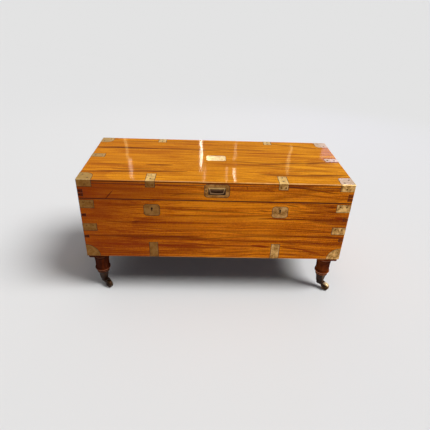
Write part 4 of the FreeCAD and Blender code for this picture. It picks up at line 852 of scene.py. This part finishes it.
# arris and edge are widths. wax darkens the eased edges inside an outer face, faces across the grain's axis
# take material 1, bare and worn are indices in materials, worn being for the outer arrises, paler with wear
# and with a painted highlight, and pick chooses faces for the last one
def eased(node, materials, arris=0.0018, edge=0.0010, wax=True, grain=None, bare=None, worn=None, pick=None):
    name = "eased_" + node
    mesh = mergedCopy(node)
    flat = math.radians(easing["flatWithin"])
    bmesh.ops.dissolve_limit(mesh, angle_limit=flat, verts=mesh.verts, edges=mesh.edges)
    weights = mesh.edges.layers.float.new("bevel_weight_edge")
    widest = max(arris, edge)
    for line in mesh.edges:
        if len(line.link_faces) != 2 or not line.is_convex:
            continue
        if line.calc_face_angle(0) < math.radians(easing["sharpAngle"]):
            continue
        ends = [vert.co for vert in line.verts]
        spots = ends + [(ends[0] + ends[1]) / 2]
        atArris = all(nearOuter(spot, easing["arrisSlack"]) >= 2 for spot in spots)
        line[weights] = (arris if atArris else edge) / widest
    data = bpy.data.meshes.new(name)
    mesh.to_mesh(data)
    mesh.free()
    thing = bpy.data.objects.new(name, data)
    scene.collection.objects.link(thing)
    rounding = thing.modifiers.new("arris", "BEVEL")
    rounding.limit_method = "WEIGHT"
    rounding.width = widest
    rounding.segments = 2
    rounding.use_clamp_overlap = False
    rounding.miter_outer = "MITER_SHARP"
    thing.modifiers.new("flat faces", "WEIGHTED_NORMAL").keep_sharp = True
    data.shade_smooth()
    data.set_sharp_from_angle(angle=math.radians(easing["smoothBelow"]))
    bpy.context.view_layer.update()
    mesh = finishMesh(name, thing, materials + [waxAndShadeMaterial])
    # no eased corner reaches past the CAD piece
    low, high = cornersOf([vert.co for vert in nodes[node].data.vertices])
    for vert in mesh.vertices:
        vert.co = [min(max(vert.co[axis], low[axis]), high[axis]) for axis in range(3)]
    waxAndShadeIndex = len(materials)
    for face in mesh.polygons:
        lean = leanOf(face)
        outer = nearOuter(face.center, easing["faceSlack"])
        if bare is not None and inHollow(face.center):
            face.material_index = bare
        # painted shade on the keyhole walls and on the left front arris, in the wax colour
        elif inKeyhole(face) or onLeftArris(face):
            face.material_index = waxAndShadeIndex
        elif worn is not None and easing["leanFrom"] < lean < easing["leanTo"] and outer >= 2:
            face.material_index = worn
        elif wax and easing["leanFrom"] < lean < easing["waxLeanTo"] and outer == 1:
            face.material_index = waxAndShadeIndex
        elif grain is not None and abs(face.normal[grain]) > easing["endOn"]:
            face.material_index = 1
        elif pick is not None and pick(face):
            face.material_index = waxAndShadeIndex - 1
        else:
            face.material_index = 0
    standFor(thing, node)


longBoards = {
    "front_board": "front",
    "back_board": "back",
    "lid_front_rail": "lidFront",
    "lid_back_rail": "back",
}
for node, wood in longBoards.items():
    eased(node, [woods[wood], woods["endGrain"], woods["inside"], woods["arris"]], grain=0, bare=2, worn=3)
for node in ("left_end_board", "right_end_board", "lid_left_rail", "lid_right_rail"):
    eased(node, [woods["end"], woods["endGrain"], woods["insideEnds"]], grain=1, bare=2)
eased(
    "lid_top_board",
    [woods["top"], woods["endGrain"], woods["inside"], woods["arris"], woods["lidFront"]],
    grain=0,
    bare=2,
    worn=3,
    arris=0.0028,
    pick=lambda face: abs(face.normal.y) > 0.8,
)
eased("bottom_board", [woods["under"], woods["endGrain"], woods["inside"]], grain=0, bare=2)
print("boards eased")

# How wide the edges of the brass and of the legs are broken
edgeWidth = {
    "mount": 0.0009,
    "namePlate": 0.0010,
    "handlePlate": 0.0005,
    "bail": 0.0004,
    "frontHandlePlate": 0.0008,
    "horn": 0.0006,
    "wheel": 0.0005,
    "small": 0.0003,
    "lock": 0.0002,
    "pad": 0.0010,
    "leg": 0.0004,
}
caseMounts = ("upper_corner_straps", "middle_corner_straps", "lower_corner_brackets", "lower_edge_straps")
lidMounts = ("lid_corner_brackets", "lid_front_straps", "lid_back_straps", "lid_end_straps")
cupDepth = 0.0015  # the front handle's faces deeper than this are its cup
for node in caseMounts:
    eased(node, [brasses["mount"]], edge=edgeWidth["mount"])
for node in lidMounts:
    # upward faces take the brighter brass as painted light; arrises take the rubbed brass, wear with a
    # painted highlight
    dressed = [brasses["mount"], brasses["rubbed"], brasses["lidMount"]]
    eased(node, dressed, edge=edgeWidth["mount"], worn=1, pick=lambda face: face.normal.z > 0.35)
eased("name_plate", [brasses["plate"]], edge=edgeWidth["namePlate"])
for side in ("left", "right"):
    eased(side + "_escutcheon", [brasses["escutcheon"]], edge=edgeWidth["mount"])
    eased(side + "_handle_plate", [brasses["handle"]], edge=edgeWidth["handlePlate"])
    eased(side + "_handle_bail", [brasses["handle"]], edge=edgeWidth["bail"], wax=False)
eased(
    "front_handle_plate",
    [brasses["handle"], brasses["cup"]],
    edge=edgeWidth["frontHandlePlate"],
    pick=lambda face: face.center.y > cupDepth - chest["longFace"],
)
eased("front_handle_bail", [brasses["bail"]], edge=edgeWidth["bail"], wax=False)
print("brass let in")


# Screws: each is a slotted cone with its shank, set at a CAD screw's head and turned by seeded chance
screw = {
    "head": 0.0036,
    "shank": 0.0018,
    "tall": 0.0016,
    "long": 0.0125,
    "slotWide": 0.0009,
    "slotDeep": 0.0007,
    "slotReach": 2.6,  # times the head's radius
    "headSides": 20,
    "shankSides": 8,
    "endSlack": 0.0004,
}


def islandsOf(node):
    mesh = mergedCopy(node)
    mesh.verts.index_update()
    seen = set()
    groups = []
    for first in mesh.verts:
        if first.index in seen:
            continue
        stack, found = [first], []
        seen.add(first.index)
        while stack:
            vert = stack.pop()
            found.append(vert.co.copy())
            for line in vert.link_edges:
                other = line.other_vert(vert)
                if other.index not in seen:
                    seen.add(other.index)
                    stack.append(other)
        groups.append(found)
    mesh.free()
    return groups


# Where each screw's head is and which way it faces: its wider end
def screwPlaces(node):
    places = []
    for points in islandsOf(node):
        low, high = cornersOf(points)
        size = high - low
        axis = max(range(3), key=lambda index: size[index])
        middle = (low + high) / 2
        width = {}
        for end, level in ((-1, low[axis]), (1, high[axis])):
            ring = [point for point in points if abs(point[axis] - level) < screw["endSlack"]]
            width[end] = max((point - middle).length for point in ring)
        out = 1 if width[1] > width[-1] else -1
        way = Vector((0, 0, 0))
        way[axis] = out
        head = middle.copy()
        head[axis] = high[axis] if out > 0 else low[axis]
        places.append((head, way))
    return places


def makeScrewTree():
    tree = bpy.data.node_groups.new("slottedScrews", "GeometryNodeTree")
    tree.interface.new_socket("Geometry", in_out="INPUT", socket_type="NodeSocketGeometry")
    for name, key in (
        ("Head radius", "head"),
        ("Shank radius", "shank"),
        ("Head tall", "tall"),
        ("Length", "long"),
        ("Slot width", "slotWide"),
        ("Slot depth", "slotDeep"),
    ):
        socket = tree.interface.new_socket(name, in_out="INPUT", socket_type="NodeSocketFloat")
        socket.default_value = screw[key]
    tree.interface.new_socket("Seed", in_out="INPUT", socket_type="NodeSocketInt").default_value = 7
    tree.interface.new_socket("Brass", in_out="INPUT", socket_type="NodeSocketMaterial")
    tree.interface.new_socket("Geometry", in_out="OUTPUT", socket_type="NodeSocketGeometry")
    given = addNode(tree, "NodeGroupInput").outputs

    def lowered(mesh, depth):
        down = addNode(tree, "ShaderNodeCombineXYZ", {"Z": depth}).outputs[0]
        return addNode(tree, "GeometryNodeTransform", {"Geometry": mesh, "Translation": down}).outputs[0]

    headSizes = {
        "Vertices": screw["headSides"],
        "Radius Top": given["Head radius"],
        "Radius Bottom": given["Shank radius"],
        "Depth": given["Head tall"],
    }
    head = addNode(tree, "GeometryNodeMeshCone", headSizes).outputs["Mesh"]
    head = lowered(head, calc(tree, "MULTIPLY", given["Head tall"], -1.0))
    slotLong = calc(tree, "MULTIPLY", given["Head radius"], screw["slotReach"])
    slotTall = calc(tree, "MULTIPLY", given["Slot depth"], 2.0)
    slotSizes = {"X": slotLong, "Y": given["Slot width"], "Z": slotTall}
    slotSize = addNode(tree, "ShaderNodeCombineXYZ", slotSizes).outputs[0]
    slotBox = addNode(tree, "GeometryNodeMeshCube", {"Size": slotSize}).outputs["Mesh"]
    cut = {"Mesh 1": head, "Mesh 2": slotBox}
    slotted = addNode(tree, "GeometryNodeMeshBoolean", cut, operation="DIFFERENCE", solver="EXACT").outputs[0]
    shankSizes = {
        "Vertices": screw["shankSides"],
        "Radius": given["Shank radius"],
        "Depth": calc(tree, "SUBTRACT", given["Length"], given["Head tall"]),
    }
    shank = addNode(tree, "GeometryNodeMeshCylinder", shankSizes).outputs["Mesh"]
    whole = calc(tree, "ADD", given["Length"], given["Head tall"])
    shank = lowered(shank, calc(tree, "MULTIPLY", whole, -0.5))
    joined = addNode(tree, "GeometryNodeJoinGeometry")
    tree.links.new(slotted, joined.inputs[0])
    tree.links.new(shank, joined.inputs[0])
    wayName = {"Name": "way"}
    way = addNode(tree, "GeometryNodeInputNamedAttribute", wayName, data_type="FLOAT_VECTOR").outputs[0]
    lean = addNode(tree, "FunctionNodeAlignRotationToVector", {"Vector": way}, axis="Z").outputs[0]
    chance = addNode(tree, "FunctionNodeRandomValue", {"Seed": given["Seed"]}, data_type="FLOAT")
    chance.inputs[2].default_value = 0.0
    chance.inputs[3].default_value = math.pi
    turned = {"Axis": (0, 0, 1), "Angle": chance.outputs[1]}
    spin = addNode(tree, "FunctionNodeAxisAngleToRotation", turned).outputs[0]
    turns = {"Rotation": lean, "Rotate By": spin}
    facing = addNode(tree, "FunctionNodeRotateRotation", turns, rotation_space="LOCAL").outputs[0]
    setting = {"Points": given["Geometry"], "Instance": joined.outputs[0], "Rotation": facing}
    placed = addNode(tree, "GeometryNodeInstanceOnPoints", setting).outputs[0]
    real = addNode(tree, "GeometryNodeRealizeInstances", {0: placed}).outputs[0]
    finish = {"Geometry": real, "Material": given["Brass"]}
    dressed = addNode(tree, "GeometryNodeSetMaterial", finish).outputs[0]
    addNode(tree, "NodeGroupOutput", {0: dressed})
    return tree


screwTree = makeScrewTree()


def socketNamed(tree, name):
    for item in tree.interface.items_tree:
        if item.item_type == "SOCKET" and item.in_out == "INPUT" and item.name == name:
            return item.identifier
    return None


def driveScrews(node, name, seed):
    places = screwPlaces(node)
    data = bpy.data.meshes.new(name)
    data.from_pydata([head for head, _ in places], [], [])
    ways = data.attributes.new("way", "FLOAT_VECTOR", "POINT")
    for index, (_, way) in enumerate(places):
        ways.data[index].vector = way
    thing = bpy.data.objects.new(name, data)
    scene.collection.objects.link(thing)
    grow = thing.modifiers.new("screws", "NODES")
    grow.node_group = screwTree
    grow[socketNamed(screwTree, "Seed")] = seed
    grow[socketNamed(screwTree, "Brass")] = brasses["screw"]
    bpy.context.view_layer.update()
    finishMesh(name, thing, [brasses["screw"]])
    standFor(thing, node)
    print(name, len(places), "screws")


driveScrews("case_screws", "caseScrews", 11)
driveScrews("lid_screws", "lidScrews", 23)

# Pads, legs, castors, hinges and locks
eased("leg_blocks", [woods["leg"]], arris=edgeWidth["pad"], edge=edgeWidth["pad"], wax=False)
eased("castor_sockets", [brasses["castor"]], edge=edgeWidth["small"], wax=False)
for corner in ("front_left", "front_right", "back_left", "back_right"):
    eased("turned_leg_" + corner, [woods["leg"]], edge=edgeWidth["leg"], wax=False)
    eased("castor_horn_" + corner, [brasses["castor"]], edge=edgeWidth["horn"], wax=False)
    eased("castor_axle_" + corner, [brasses["castor"]], edge=edgeWidth["small"], wax=False)
    eased("castor_wheel_" + corner, [brasses["wheel"]], edge=edgeWidth["wheel"], wax=False)
for side in ("left", "right"):
    for node in ("hinge_case_leaf", "hinge_lid_leaf"):
        eased("%s_%s" % (side, node), [brasses["hinge"]], edge=edgeWidth["small"], wax=False)
    # the lock's front faces take the near-black brass as painted shade
    eased(
        side + "_lock_case",
        [brasses["lock"], brasses["lockInside"]],
        edge=edgeWidth["lock"],
        wax=False,
        pick=lambda face: face.normal.y < -0.5,
    )
    for node in ("lock_bolt", "lock_link_plate"):
        eased("%s_%s" % (side, node), [brasses["lock"]], edge=edgeWidth["lock"], wax=False)
eased("hinge_pins", [brasses["hinge"]], edge=edgeWidth["small"], wax=False)
print("legs, castors, hinges and locks dressed")

# Floor, light and camera
floorLook = {"half": 120.0, "colour": (0.768, 0.768, 0.768), "roughness": 0.9}
half = floorLook["half"]
floorCorners = [(-half, -half, 0), (half, -half, 0), (half, half, 0), (-half, half, 0)]
floorMesh = bpy.data.meshes.new("floor")
floorMesh.from_pydata(floorCorners, [], [(0, 1, 2, 3)])
floor = bpy.data.objects.new("floor", floorMesh)
scene.collection.objects.link(floor)
floorMaterial, _, floorShader, _ = startMaterial(
    "paleFloor", Roughness=floorLook["roughness"], Specular_IOR_Level=0.0
)
floorShader.inputs["Base Color"].default_value = (*floorLook["colour"], 1)
floorMesh.materials.append(floorMaterial)
print("floor laid")

light = {
    "zenith": 0.68,
    "narrowing": 3.0,  # the power of the height, so that the light from the world comes from overhead
    "backdrop": 0.768,
    "sun": 2.862,
    "sunWide": 30,
    "sunTurn": 71.4,
    "sunHigh": 53,
}
world = bpy.data.worlds.new("studio")
scene.world = world
world.use_nodes = True
sky = world.node_tree
sky.nodes.clear()
path = addNode(sky, "ShaderNodeLightPath").outputs
seen = calc(sky, "MAXIMUM", path["Is Camera Ray"], path["Is Glossy Ray"])
seen = calc(sky, "MAXIMUM", seen, path["Is Transmission Ray"])
# light comes mostly from overhead, as from a wide soft box
height = axesOf(sky, addNode(sky, "ShaderNodeTexCoord").outputs["Object"])[2]
overhead = calc(sky, "POWER", calc(sky, "MAXIMUM", height, 0.0), light["narrowing"])
overhead = calc(sky, "MULTIPLY", overhead, light["zenith"])
strengths = {0: seen, 2: overhead, 3: light["backdrop"]}
strength = addNode(sky, "ShaderNodeMix", strengths, data_type="FLOAT").outputs[0]
background = addNode(sky, "ShaderNodeBackground", {"Color": (1, 1, 1, 1), "Strength": strength}).outputs[0]
addNode(sky, "ShaderNodeOutputWorld", {"Surface": background})

sunData = bpy.data.lights.new("windowSun", "SUN")
sunData.energy = light["sun"]
sunData.angle = math.radians(light["sunWide"])
sun = bpy.data.objects.new("windowSun", sunData)
turn, high = math.radians(light["sunTurn"]), math.radians(light["sunHigh"])
toSun = Vector((math.sin(turn) * math.cos(high), -math.cos(turn) * math.cos(high), math.sin(high)))
sun.rotation_euler = toSun.to_track_quat("Z", "Y").to_euler()
scene.collection.objects.link(sun)

# Tall lamps behind the chest, seen only as streaks in the polished lid: x, low, high, width, colour, power
lamps = (
    ("lampA", -0.080, 1.50, 1.90, 0.028, (1.0, 0.95, 0.80), 58.0),
    ("lampAHigh", -0.033, 1.90, 2.07, 0.034, (1.0, 0.76, 0.62), 10.0),
    ("lampB", -1.000, 1.52, 1.76, 0.034, (1.0, 0.78, 0.34), 9.0),
    ("lampBHigh", -0.972, 1.76, 2.05, 0.042, (1.0, 0.86, 0.78), 14.0),
    ("lampE", 0.239, 1.88, 2.06, 0.034, (1.0, 0.80, 0.62), 9.0),
    ("lampC", 0.345, 1.88, 2.06, 0.032, (1.0, 0.92, 0.76), 40.0),
    ("lampCLow", 0.338, 1.56, 1.76, 0.036, (1.0, 0.88, 0.66), 7.0),
    ("lampD", 1.030, 1.56, 1.94, 0.034, (1.0, 0.84, 0.42), 9.0),
    ("lampRight", 1.66, 1.42, 1.76, 0.46, (0.50, 0.44, 1.0), 7.0),
    ("lampRightLow", 1.72, 1.46, 1.66, 0.26, (0.46, 0.44, 1.0), 8.0),
)
lampDistance = 3.0
for name, x, low, top, wide, colour, power in lamps:
    data = bpy.data.lights.new(name, "AREA")
    data.shape = "RECTANGLE"
    data.size = wide
    data.size_y = top - low
    data.color = colour
    data.energy = power * wide * (top - low) * math.pi
    lamp = bpy.data.objects.new(name, data)
    lamp.location = (x, lampDistance, (low + top) / 2)
    lamp.rotation_euler = Vector((x, lampDistance, 0)).to_track_quat("Z", "Y").to_euler()
    lamp.visible_camera = False
    scene.collection.objects.link(lamp)
print("lights set")

view = {
    "place": (-0.05695, -1.57294, 1.17688),
    "focalPixels": 389.1,
    "imageWidth": 430,
    "sensor": 36,
    "yaw": -2.25,
    "pitch": 30.20,
    "roll": 2.24,
    "nearest": 0.05,
    "farthest": 200,
}
yaw, pitch, roll = (math.radians(view[key]) for key in ("yaw", "pitch", "roll"))
right = Vector((math.cos(yaw), math.sin(yaw), 0))
ahead = Vector((-math.sin(yaw), math.cos(yaw), 0))
forward = math.cos(pitch) * ahead - math.sin(pitch) * Vector((0, 0, 1))
upward = math.sin(pitch) * ahead + math.cos(pitch) * Vector((0, 0, 1))
rolledRight = math.cos(roll) * right + math.sin(roll) * upward
rolledUp = math.cos(roll) * upward - math.sin(roll) * right
cameraData = bpy.data.cameras.new("photoCamera")
cameraData.lens = view["focalPixels"] / view["imageWidth"] * view["sensor"]
cameraData.sensor_width = view["sensor"]
cameraData.clip_start = view["nearest"]
cameraData.clip_end = view["farthest"]
camera = bpy.data.objects.new("photoCamera", cameraData)
turnMatrix = Matrix((rolledRight, rolledUp, -forward)).transposed().to_4x4()
camera.matrix_world = Matrix.Translation(view["place"]) @ turnMatrix
scene.collection.objects.link(camera)
scene.camera = camera
scene.view_settings.view_transform = "Standard"
print("camera set")
